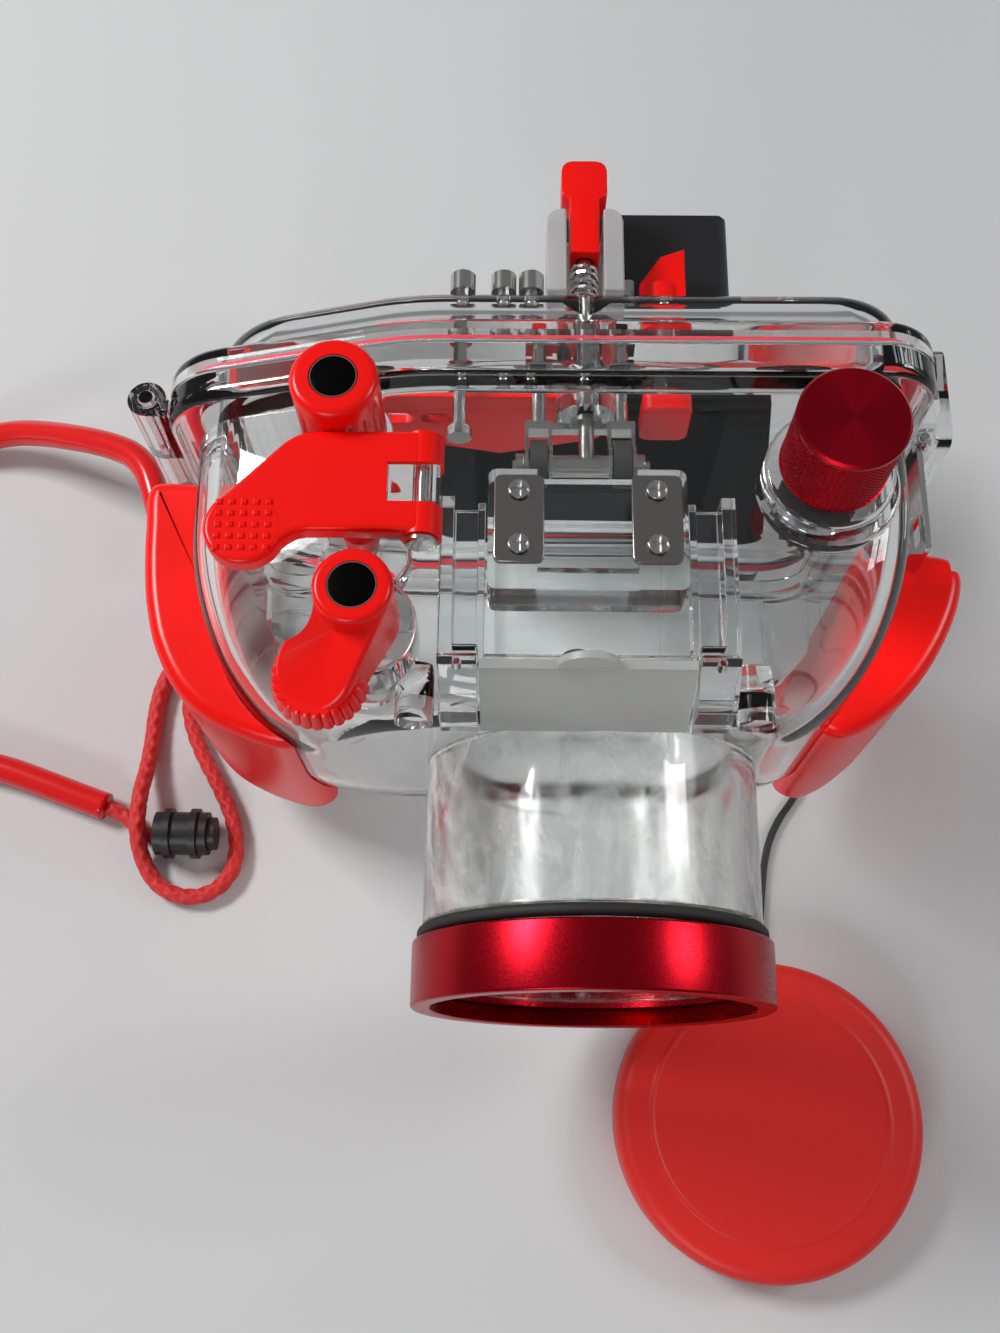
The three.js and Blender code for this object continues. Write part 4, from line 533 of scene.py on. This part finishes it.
# The front case's additions, with the boxes as x, y and z limits
BOSSES = [(KNOB, 14.6, 106.5, 110.5, 72, 1.2), (KNOB, 12.4, 106.5, 115.9, 72, 1.0),
          (DIAL, 9.2, 97.5, 111.4, 56, 0.8), (SHUTTER, 8.4, 97.5, 113.2, 56, 0.8), (ZOOM, 10, 88, 113, 56, 0.8)]
FRONT_BLOCKS = [
    (-39.8, -31, -24.1, -16.9, 97.5, 119.6),  # post under the shutter lever
    (-39.8, -30, -24.1, -16.9, 119.5, 127.4),  # tongue that holds the lever's pin
    (59, 64.8, -13.8, -3.4, 79.7, 87.8),  # catch
    (-98.4, HINGE_SIDE, 8, 13.7, 24, 34),  # strap lug
]
CORD_LUG = (-84, -60, -8.4, 4.4, 0.4, 5.4)
FEET = [(-22, 22, -32, 13), (-66, -54, -30, 12), (38, 50, -30, 12)]
SHAFT_BORES = [(KNOB, 2.8), (DIAL, 2.3), (SHUTTER, 2), (ZOOM, 2.3)]


def rounded(corners, steps=14):
    """A polygon with rounded corners, each given as (x, y, radius)."""
    points = []
    for i, (x, y, r) in enumerate(corners):
        here = Vector((x, y))
        if r <= 0:
            points.append(here)
            continue
        before = Vector(corners[i - 1][:2])
        after = Vector(corners[(i + 1) % len(corners)][:2])
        u, v = (before - here).normalized(), (after - here).normalized()
        half = math.acos(max(-1, min(1, u.dot(v)))) / 2
        centre = here + (u + v).normalized() * (r / math.sin(half))
        start = here + u * (r / math.tan(half)) - centre
        end = here + v * (r / math.tan(half)) - centre
        sweep = math.atan2(start.x * end.y - start.y * end.x, start.dot(end))
        for k in range(steps + 1):
            c, s = math.cos(sweep * k / steps), math.sin(sweep * k / steps)
            points.append(centre + Vector((start.x * c - start.y * s, start.x * s + start.y * c)))
    return points


def case_outline(size, left, right, top, bottom, rounding, knee=0.0):
    x0, x1 = size["left"] + left, size["right"] - right
    z1, z0 = size["top"] - top, size["bottom"] + bottom
    xk = size["knee"] + knee
    return rounded([(x0, z0, size["bottom_r"] + rounding), (x1, z0, size["bottom_r"] + rounding),
                    (x1, z1, size["top_r"] + rounding), (xk, z1, size["knee_r"]),
                    (x0, z1 - SLOPE * (xk - x0), size["shoulder_r"] + rounding)])


def even_outline(size, amount):
    return case_outline(size, amount, amount, amount, amount, -amount)


def mouth_outline(size):
    wall = SHELL["wall"]
    return case_outline(size, wall, wall, wall, SILL, -wall)


def on_plane(points, y):
    return [(p.x, y, p.y) for p in points]


def skinned(rings):
    """A closed skin over rings of equal length, with a fan at each end."""
    spots = [spot for ring in rings for spot in ring]
    n = len(rings[0])
    faces = bands(len(rings), n)
    for base, flip in ((0, True), ((len(rings) - 1) * n, False)):
        centre = len(spots)
        spots.append(tuple(sum(spots[base + k][axis] for k in range(n)) / n for axis in range(3)))
        for k in range(n):
            a, b = base + k, base + (k + 1) % n
            faces.append((b, a, centre) if flip else (a, b, centre))
    return spots, faces


def lerp(a, b, t):
    return a + (b - a) * t


def quarter_turn(steps):
    """The sine and cosine of even angles from 0 to 90 degrees."""
    angles = [math.pi / 2 * i / steps for i in range(steps + 1)]
    return [(math.sin(a), math.cos(a)) for a in angles]


def rims(low, high, under, over, steps):
    """The levels of a plate's two rounded rims, each with the amount that the outline is drawn in."""
    return ([(under * (1 - s), low + under * (1 - c)) for s, c in quarter_turn(steps)]
            + [(over * (1 - c), high - over * (1 - s)) for s, c in quarter_turn(steps)])


def front_body(skin, back):
    """The front case's form, drawn in by skin: its nose narrows along a quarter ellipse."""
    rings = [on_plane(even_outline(SHELL, skin), back)]
    for s, c in quarter_turn(22):
        share = 1 - c
        sides = [lerp(skin, NOSE[side], share) for side in ("left", "right", "top", "bottom")]
        outline = case_outline(SHELL, *sides, NOSE["rounding"] * share - skin,
                               NOSE["left"] * NOSE["knee"] * share)
        rings.append(on_plane(outline, NOSE["back"] + (NOSE["front"] + skin - NOSE["back"]) * s))
    return skinned(rings)


def door_body(skin, front):
    """The door's form, drawn in by skin, with a rounded edge at its back."""
    rings = [on_plane(even_outline(DOOR_SIZE, skin), front)]
    for s, c in quarter_turn(12):
        sides = [skin + (DOOR["edge"] - skin) * (1 - c)] * 4
        y = DOOR["back"] - DOOR["edge"] + (DOOR["edge"] - skin) * s
        rings.append(on_plane(case_outline(DOOR_SIZE, *sides, -skin), y))
    return skinned(rings)


def soft_slab(outline_at, y0, y1, edge_front=0, edge_back=0, steps=5):
    """A plate whose outline is drawn in by outline_at(amount) over a rounded edge at each face."""
    levels = rims(y0, y1, edge_front, edge_back, steps)
    return skinned([on_plane(outline_at(amount), y) for amount, y in levels])


def cylinder(axis, u, v, radius, low, high, count=64, soft=0.0):
    """A bar along an axis, with its high end's edge rounded by soft."""
    edge = arc(radius - soft, high - soft, soft, 0, 90, 5) if soft else [(radius, high)]
    return lathe([(0, low), (radius, low), *edge, (0, high)], axis, (u, v), count, closed=False)


def block(x0, x1, y0, y1, z0, z1):
    spots = [(x, y, z) for z in (z0, z1) for y in (y0, y1) for x in (x0, x1)]
    return spots, [(0, 2, 3, 1), (4, 5, 7, 6), (0, 1, 5, 4), (2, 6, 7, 3), (0, 4, 6, 2), (1, 3, 7, 5)]


def plan_slab(points, z0, z1):
    """A plate standing on a plan outline of (x, y) points."""
    return skinned([[(x, y, z) for x, y in points] for z in (z0, z1)])


def raw_object(shape):
    """A bare closed mesh that faces outwards, for booleans."""
    mesh = bpy.data.meshes.new("tool")
    mesh.from_pydata(in_metres(shape[0]), [], shape[1])
    bm = bmesh.new()
    bm.from_mesh(mesh)
    bmesh.ops.remove_doubles(bm, verts=bm.verts, dist=0.000001)
    bmesh.ops.recalc_face_normals(bm, faces=bm.faces)
    bmesh.ops.triangulate(bm, faces=bm.faces)
    bm.to_mesh(mesh)
    bm.free()
    obj = bpy.data.objects.new("tool", mesh)
    scene.collection.objects.link(obj)
    return obj


def combine(first, steps):
    """Applies booleans in order: steps are (operation, shape) pairs."""
    base = raw_object(first)
    tools = []
    for operation, shape in steps:
        tool = raw_object(shape)
        tools.append(tool)
        step = base.modifiers.new("step", "BOOLEAN")
        step.operation = operation
        step.object = tool
        step.solver = "MANIFOLD"
    bpy.context.view_layer.update()
    evaluated = base.evaluated_get(bpy.context.evaluated_depsgraph_get())
    mesh = bpy.data.meshes.new_from_object(evaluated)
    for obj in [base, *tools]:
        old = obj.data
        bpy.data.objects.remove(obj)
        bpy.data.meshes.remove(old)
    return mesh


def shell_object(name, mesh, finish, body, slot, degrees, *replaced):
    """Puts in the scene a mesh that booleans made."""
    mesh.name = name
    sharpen(place(name, mesh, finish, body, replaced), degrees, weighted=True)


def knuckles(first, y0, y1):
    """Every other one of the hinge's three knuckles, each with the web that carries it."""
    low, pitch, radius, count = 42.0, 55 / 3, 4, 3
    out = []
    for i in range(first, count, 2):
        z0 = low + i * pitch + SLACK / 2
        z1 = z0 + pitch - SLACK
        out.append((UNION, cylinder("z", *HINGE, radius, z0, z1, 40)))
        out.append((UNION, block(HINGE[0], HINGE_SIDE, y0, y1, z0, z1)))
    return out


def box_outline(x0, x1, y0, y1, r):
    return [tuple(p) for p in rounded([(x0, y0, r), (x1, y0, r), (x1, y1, r), (x0, y1, r)], 6)]


def front_case():
    front, back = FRONT_FLANGE
    steps = [
        (UNION, soft_slab(lambda a: even_outline(FLANGE_SIZE, a), front, back, OUTER_EDGE, INNER_EDGE)),
        *[(UNION, cylinder("z", *at, *sizes)) for at, *sizes in BOSSES],
        (UNION, cylinder("y", 0, LENS_Z, 35, NOSE["front"], NOSE["back"], 120)),
        *[(UNION, cylinder("y", x, 101, 3.7, -57, -46, 40)) for x in (28.8, -35.2)],
        *[(UNION, block(*box)) for box in FRONT_BLOCKS],
        (CUT, front_body(SHELL["wall"], 8.2)),
        (CUT, soft_slab(lambda a: mouth_outline(SHELL), 6, 16, steps=1)),
        *[(UNION, plan_slab(box_outline(*foot, 4), 0, 7.6)) for foot in FEET],
        (UNION, block(*CORD_LUG)),
        *knuckles(0, 10.15, back),
        (CUT, cylinder("y", 0, LENS_Z, 31, -56.5, NOSE["back"], 120)),
        (CUT, cylinder("y", 0, LENS_Z, 32.9, -56.5, -51.6, 120)),
        *[(CUT, cylinder("z", *at, bore, 60, KNOB_TOP, 24)) for at, bore in SHAFT_BORES],
        (CUT, cylinder("z", *HINGE, 1.8, 40, 99, 24)),
        (CUT, cylinder("y", *LEVER, 1.8, -32.2, -11.2, 24)),
        (CUT, cylinder("z", 0, -11, 5.3, -2, 6.3, 32)),
    ]
    mesh = combine(front_body(0, back), steps)
    shell_object("front_case_clear", mesh, clear, "case", "clear", 32, "front_case")


def rear_case():
    front, flange_back = DOOR["front"], DOOR["flange_back"]
    steps = [
        (UNION, soft_slab(lambda a: even_outline(FLANGE_SIZE, a), front, flange_back, INNER_EDGE, OUTER_EDGE)),
        (CUT, door_body(SHELL["wall"], 19.9)),
        (CUT, soft_slab(lambda a: mouth_outline(DOOR_SIZE), 12.3, 22, steps=1)),
        (CUT, soft_slab(lambda a: even_outline(FLANGE_SIZE, 2.8), 12.3, 17.9, steps=1)),
        (UNION, soft_slab(lambda a: even_outline(FLANGE_SIZE, 6.6), front, 18, steps=1)),
        (CUT, soft_slab(lambda a: mouth_outline(DOOR_SIZE), 12.3, 22, steps=1)),
        (UNION, cylinder("z", *LATCH, 2.3, 66, 82, 32)),
        (UNION, block(60, LATCH[0], 25.7, 30.3, 66, 82)),
        (UNION, cylinder("y", *PUSH, 6.1, 7.4, 33.5, 56)),
        (UNION, cylinder("y", *FLAG, 3.6, 27.5, 33.5, 40)),
        *[(UNION, cylinder("y", x, BUTTON_Z, 2.8, 27.5, 33.5, 32)) for x in BUTTON_X],
        *[(UNION, cylinder("y", x, z, 2.6, 20.1, 33.5, 32)) for x in (-28.5, 31.5) for z in (26.5, 89.1)],
        *knuckles(1, front, 18.15),
        (CUT, cylinder("z", *HINGE, 1.8, 40, 99, 24)),
        (CUT, cylinder("z", *LATCH, 1.4, 56, 92, 20)),
        (CUT, cylinder("y", *PUSH, 1.9, 0, 68, 24)),
        (CUT, cylinder("y", *FLAG, 1.9, 0, 68, 24)),
        (CUT, cylinder("y", 7.8, 90.2, 1.7, 26, 68, 24)),
        *[(CUT, cylinder("y", x, BUTTON_Z, 1.7, 0, 68, 24)) for x in BUTTON_X],
    ]
    mesh = combine(door_body(0, front), steps)
    shell_object("rear_case_clear", mesh, clear, "door", "clear", 32, "rear_case")


# Smooth forms of the moulded pieces
def inset(points, amount):
    """Draws a closed anticlockwise outline in by an amount along its normals."""
    out = []
    for i, here in enumerate(points):
        along = (points[(i + 1) % len(points)] - points[i - 1]).normalized()
        out.append(here - Vector((along.y, -along.x)) * amount)
    return out


def at_level(points, z):
    return [(p.x, p.y, z) for p in points]


def soft_plate(points, low, high, under, over, steps=6):
    """A plate on a plan outline whose lower and upper rims are rounded."""
    return skinned([at_level(inset(points, amount), z) for amount, z in rims(low, high, under, over, steps)])


def closed_curve(route, per_point):
    """A smooth closed outline through plan points."""
    pts = [Vector(p) for p in route]
    out = []
    for i, p1 in enumerate(pts):
        p0, p2, p3 = pts[i - 1], pts[(i + 1) % len(pts)], pts[(i + 2) % len(pts)]
        for k in range(per_point):
            t = k / per_point
            out.append(0.5 * (2 * p1 + (p2 - p0) * t + (2 * p0 - 5 * p1 + 4 * p2 - p3) * t ** 2
                              + (3 * p1 - p0 - 3 * p2 + p3) * t ** 3))
    return out


def disc_points(x, y, radius, count):
    angles = [TAU * k / count for k in range(count)]
    return [Vector((x + radius * math.cos(a), y + radius * math.sin(a))) for a in angles]


def anticlockwise(points):
    area = sum(a.x * b.y - b.x * a.y for a, b in zip(points, points[1:] + points[:1]))
    return points if area > 0 else list(reversed(points))


LEFT_GRIP = [(-97.6, 6.6), (-98, -4), (-97.2, -15), (-95.8, -23.3), (-93.4, -31.4), (-89, -39.8),
             (-83.4, -45.8), (-76.5, -49.8), (-69.5, -52.4), (-63.6, -53.4), (-59.4, -51), (-59.6, -46),
             (-64, -38), (-70, -27),
             (-76, -15), (-78, -4), (-80, 6), (-88, 7.4)]
RIGHT_GRIP = [(58, -7.8), (57, -16), (53, -27), (48.6, -36), (46, -43), (47.2, -48), (51.4, -50),
              (55.8, -48.8), (60.6, -45.8), (66.8, -40.4), (72.4, -33.2), (76.9, -25.2), (79.6, -18),
              (80, -13), (77.6, -9.4),
              (72, -8.2), (66, -7.4)]


def grip(name, contour, node_name, cuts=()):
    outline = anticlockwise(closed_curve(contour, 8))
    bottom, top, under, over = 16, 74, 6, 3.4
    tools = [(CUT, front_body(-SLACK, 14))] + [(CUT, shape) for shape in cuts]
    mesh = combine(soft_plate(outline, bottom, top, under, over, 8), tools)
    shell_object(name, mesh, red, "case", "red", 38, node_name)


def mode_dial():
    (x, y), radius, low, collar, high = DIAL, 8.1, 112, 126.4, DIAL_TOP
    lobes, phase, sharpness, count, depth = 8, 0.3, 0.35, 320, 0.9

    def lobed(z, reach, depth):
        spots = []
        for k in range(count):
            angle = TAU * k / count
            valley = abs(math.sin(lobes * angle + phase)) ** sharpness
            r = reach - depth * (1 - valley)
            spots.append((x + r * math.cos(angle), y + r * math.sin(angle), z))
        return spots
    rings = [lobed(low, radius - 0.5, depth), lobed(low + 0.5, radius, depth), lobed(collar, radius, depth),
             lobed(collar + 0.7, radius, 0.5), lobed(collar + 1.1, radius, 0)]
    edge = 1.6
    rings += [lobed(z, r, 0) for r, z in arc(radius - edge, high - edge, edge, 0, 90, 8)]
    rings += [lobed(high, 4.5, 0), lobed(high - 0.9, 4.4, 0)]
    sharpen(mesh_object("mode_dial_lobed", skinned(rings), red, "mode_dial", "red", "mode_dial_knob"), 50)


def black_disc(name, at, top, body, node_name):
    profile = [(0, top - 1), (DISC_R, top - 1), *arc(DISC_R - 0.2, top - 0.2, 0.2, 0, 90, 3), (0, top - 0.02)]
    shape = turned_over(lathe(profile, "z", at, 72, closed=False))
    mesh_object(name, shape, disc_black, body, "black", node_name)


def shutter_lever():
    """The lever with its studded pad, slotted barrel and the slotted screw that it turns on."""
    (pivot_x, pivot_z), top, bottom, front, back = LEVER, 128.0, 124.0, -30.2, -10.2
    (pad_x, pad_y), pad_r, under, over = (-64.4, -29.3), 7.2, 0.4, 1.1
    plan = anticlockwise([Vector(p) for p in rounded([
        (-62, -36, 2), (-55.2, -30, 6), (pivot_x, -30, 1.3), (pivot_x, back, 1.3), (-56, back, 9),
        (-69.2, -24.2, 2)], 10)])
    pitch, half, crown_share, foot_z, crown_z = 2.2, 0.82, 0.42, top - 0.3, top + 0.45
    studs = []
    rows = range(-2, 3)
    for i in rows:
        for k in rows:
            if math.hypot(i, k) * pitch > 6.3:
                continue
            sx, sy = pad_x + i * pitch, pad_y + k * pitch
            base = [Vector((sx + a * half, sy + b * half)) for a, b in ((-1, -1), (1, -1), (1, 1), (-1, 1))]
            crown = [Vector((sx, sy)).lerp(p, crown_share) for p in base]
            studs.append((UNION, skinned([at_level(base, foot_z), at_level(crown, crown_z)])))
    mesh = combine(soft_plate(plan, bottom, top, under, over), [
        (UNION, soft_plate(disc_points(pad_x, pad_y, pad_r, 96), bottom, top + 0.05, under, over)),
        (UNION, cylinder("y", *LEVER, 3.7, front, back, 72)),
        (CUT, block(-39.4, -26, -24.4, -16.6, 116.9, 132)),
        (CUT, cylinder("y", *LEVER, 1.8, front - 2, back + 2, 32)), *studs])
    shell_object("shutter_lever_smooth", mesh, red, "shutter", "red", 34, "shutter_lever")
    count = 48
    head = [[(pivot_x + r * math.cos(TAU * k / count), y, pivot_z + r * math.sin(TAU * k / count))
             for k in range(count)] for y, r in ((front - 0.2, 3), (front - 0.9, 3), (front - 1.2, 2.6))]
    slot = block(pivot_x - 0.35, pivot_x + 0.35, front - 2, front - 0.8, pivot_z - 4, pivot_z + 4)
    shank = cylinder("y", *LEVER, 1.5, front - 0.4, back - 0.4, 32)
    screw = combine(shank, [(UNION, skinned(head)), (CUT, slot)])
    shell_object("lever_pin_screw", screw, bright_steel, "case", "steel", 35, "lever_pin")


def zoom_lever():
    """The lever's hub and its sloping arm, which widens to a ribbed foot."""
    hub, foot = Vector(ZOOM), Vector((-51.1, -53.8))
    hub_r, foot_r, low, top, step, edge = 7.0, 8.1, 113.7, ZOOM_TOP, 0.8, 1.2
    down = (foot - hub).normalized()
    along = math.atan2(down.y, down.x)
    lean = math.asin((foot_r - step - hub_r) / (foot - hub).length)

    def bow(centre, radius, start, sweep, steps=28):
        angles = [start + sweep * i / steps for i in range(steps + 1)]
        return [centre + Vector((math.cos(a), math.sin(a))) * radius for a in angles]
    quarter = math.pi / 2
    plan = anticlockwise(bow(foot, foot_r - step, along - quarter - lean, 2 * quarter + 2 * lean)
                         + bow(hub, hub_r, along + quarter + lean, 2 * quarter - 2 * lean))

    def sloped(points, drop):
        return [(p.x, p.y, min(top - 0.9, top + 0.4 - 0.68 * (p - hub).dot(down)) - drop) for p in points]
    arm = skinned([at_level(plan, low)]
                  + [sloped(inset(plan, edge * (1 - c)), edge * (1 - s)) for s, c in quarter_turn(6)])

    def rim(radius, z):
        ribs, depth, count = 26, 0.55, 364
        spots = []
        for k in range(count):
            angle = TAU * k / count
            r = radius - depth * (1 - abs(math.sin(ribs / 2 * angle)) ** 0.5)
            spots.append((foot.x + r * math.cos(angle), foot.y + r * math.sin(angle), z))
        return spots
    ribbed = skinned([rim(foot_r + 0.5, low), rim(foot_r + 0.8, low + 0.5), rim(foot_r, low + 5),
                      rim(foot_r - 0.5, low + 5.4)])
    pocket = cylinder("z", *hub, 4.4, top - 1.3, top + 2, 72)
    waist = cylinder("z", -57.1, -43.3, 5.9, low - 2, top + 2, 72)
    mesh = combine(cylinder("z", *hub, hub_r, low, top, 96, 1.2),
                   [(UNION, arm), (CUT, waist), (UNION, ribbed), (CUT, pocket)])
    shell_object("zoom_lever_smooth", mesh, red, "zoom_front", "red", 36, "zoom_lever")


def carriage():
    """The push rod with its axle, the cheeks beside the two rollers and the two guides behind them."""
    axle, rollers, z0, z1 = (-2.9, 99.4), (-12, 4.6), 97.6, 101.2
    steps = [(UNION, cylinder("y", *PUSH, 3.2, 5.9, 6.9, 40)),
             (UNION, cylinder("x", *axle, 1.1, -17.2, 10.2, 32)),
             (UNION, cylinder("x", *axle, 2.2, -9.6, 2.2, 40)),
             (UNION, cylinder("x", *axle, 2.5, -16.6, -14.8, 32, 0.3)),
             (UNION, cylinder("x", *axle, 2.5, 7.4, 9.2, 32, 0.3))]
    for middle in rollers:
        for side in (-1, 1):
            inner = middle + side * 2.05
            low, high = sorted((inner, inner + side * 0.7))
            steps.append((UNION, cylinder("x", *axle, 4.1, low, high, 48)))
            steps.append((UNION, block(low, high, -1.9, 6.4, z0, z1)))
        steps.append((UNION, block(middle - 2.6, middle + 2.6, 4.6, 6.4, z0, z1)))
        steps.append((UNION, cylinder("y", middle, axle[1], 1.5, 5, 13.4, 32)))
    steps.append((UNION, block(*rollers, 4.8, 6.2, 98.2, 100.6)))
    mesh = combine(cylinder("y", *PUSH, 1.6, axle[0], 52, 32), steps)
    shell_object("push_carriage_open", mesh, steel, "push_control", "steel", 34, "push_carriage")


def backing():
    """The black screen behind the camera, with a black tunnel from its window to the door and the hood."""
    plan = rounded([(-36, 22, 4), (47, 22, 6), (37, 92.4, 3), (-36, 92.4, 4)], 6)
    front, back, end = 17.5, 19.8, 34.4
    sill = [(back, 41), (back, 42), (end, 53), (end, 41)]
    steps = [(CUT, cylinder("y", *PUSH, 9, 10, 30, 48)),
             (UNION, block(-28, 31, 19, end, 40, 88)),
             (CUT, block(-26, 29, 16, 36, 42, 86.6)),
             (UNION, block(-27, -9.4, 33, end, 41, 87)),
             (UNION, skinned([[(x, y, z) for y, z in sill] for x in (-26.8, 29.8)]))]
    mesh = combine(skinned([[(x, y, z) for x, z in plan] for y in (front, back)]), steps)
    shell_object("inner_screen", mesh, disc_black, "door", "black", 34, "inner_backing")


def diffuser_panel():
    """The frosted sheet in front of the nose, arched over the port tube, with its round finger tab."""
    middle, half, low, high = -3.2, 19.6, 96.9, 116
    section = [(-49.6, high), (-55.5, low), (-57.1, low), (-51.3, high)]
    sheet = skinned([[(x, y, z) for y, z in section] for x in (middle - half, middle + half)])
    mesh = combine(sheet, [("UNION", cylinder("y", middle, high, 5.6, -51.2, -49.7, 72, 0.3)),
                           ("DIFFERENCE", cylinder("y", 0, LENS_Z, 37.2, -62, -45, 160))])
    shell_object("frosted_sheet", mesh, frosted, "diffuser", "frosted", 34, "diffuser_panel")


def lens_cap():
    """The lens cap, face up on the floor, with the small lug that the tether ends at."""
    x, y = 43.6, -123.6
    profile = [(0, 9.6), (32.6, 9.6), (34.5, 7.6), (34.5, 0), *arc(35.4, 0.3, 0.3, -90, 0, 2),
               *arc(32.1, 8.4, 3.6, 0, 90, 12), (28.4, 12.02), *arc(27.4, 11.6, 0.8, 60, 120, 8),
               (26.4, 12.0), (0, 11.9)]
    lug = plan_slab(box_outline(x - 2.6, x + 2.8, y + 33, y + 38.2, 1.6), 0.5, 3.6)
    mesh = combine(lathe(profile, "z", (x, y), ROUND_COUNT, closed=False), [(UNION, lug)])
    shell_object("lens_cap_turned", mesh, soft_red, "cap", "soft_red", 50, "lens_cap")


def hoop(outline, y, radius, count):
    """A closed round bar that lies along an outline of (x, z) points."""
    spots = []
    for i, here in enumerate(outline):
        along = (outline[(i + 1) % len(outline)] - outline[i - 1]).normalized()
        outward = Vector((along.y, -along.x))
        for k in range(count):
            angle = TAU * k / count
            spot = here + outward * (radius * math.cos(angle))
            spots.append((spot.x, y + radius * math.sin(angle), spot.y))
    return spots, bands(len(outline), count, closed=True)


def seals():
    port = hoop(disc_points(0, LENS_Z, 34.8, ROUND_COUNT), -90.25, 1.3, 20)
    mesh_object("port_seal_round", port, rubber, "case", "rubber", "port_o_ring")
    main = hoop(even_outline(FLANGE_SIZE, 4.7), 15.95, 1.5, 20)
    mesh_object("main_seal_round", main, silicone, "door", "red_rubber", "main_o_ring")


grip("grip_left_smooth", LEFT_GRIP, "grip_left")
grip("grip_right_smooth", RIGHT_GRIP, "grip_right",
     [cylinder("z", 71.6, -7, 1.5, 10, 80, 40), block(77.4, 90, -13, -2, 10, 80)])
mode_dial()
shutter_lever()
zoom_lever()
carriage()
backing()
diffuser_panel()
lens_cap()
seals()
black_disc("mode_dial_disc", DIAL, DIAL_TOP, "mode_dial", "mode_dial_cap")
black_disc("zoom_lever_disc", ZOOM, ZOOM_TOP, "zoom_front", "zoom_lever_cap")
front_case()
rear_case()


# Floor and light, in metres
WORLD_COLOR, WORLD_STRENGTH = (0.92, 0.95, 1, 1), 0.22
LIGHTS = [("key", (-0.72, 0.3, 0.8), (0, 0, 0.06), (0.34, 0.2), 8.5),
          ("side", (0.75, 0.1, 0.6), (0, 0, 0.05), (0.25, 0.25), 2.2),
          ("front", (-0.35, -0.9, 0.55), (0, -0.05, 0.06), (0.4, 0.16), 2.4)]


def make_stage():
    half, drop = 1.6, 0.0002
    mesh = bpy.data.meshes.new("floor")
    corners = [(-half, -half, 0), (half, -half, 0), (half, half, 0), (-half, half, 0)]
    mesh.from_pydata(corners, [], [(0, 1, 2, 3)])
    mesh.materials.append(material("pale_floor", (0.6, 0.6, 0.6), 0.8))
    floor = bpy.data.objects.new("floor", mesh)
    floor.location.z = -drop
    scene.collection.objects.link(floor)


def area_light(name, at, towards, size, power):
    data = bpy.data.lights.new(name, "AREA")
    data.shape = "RECTANGLE"
    data.size, data.size_y = size
    data.energy = power
    light = bpy.data.objects.new(name, data)
    light.location = at
    light.rotation_euler = (Vector(towards) - Vector(at)).to_track_quat("-Z", "Y").to_euler()
    scene.collection.objects.link(light)


def make_light():
    world = bpy.data.worlds.new("studio")
    scene.world = world
    world.use_nodes = True
    background = world.node_tree.nodes["Background"]
    background.inputs["Color"].default_value = WORLD_COLOR
    background.inputs["Strength"].default_value = WORLD_STRENGTH
    for light in LIGHTS:
        area_light(*light)
    scene.view_settings.view_transform = "Standard"


make_stage()
make_light()
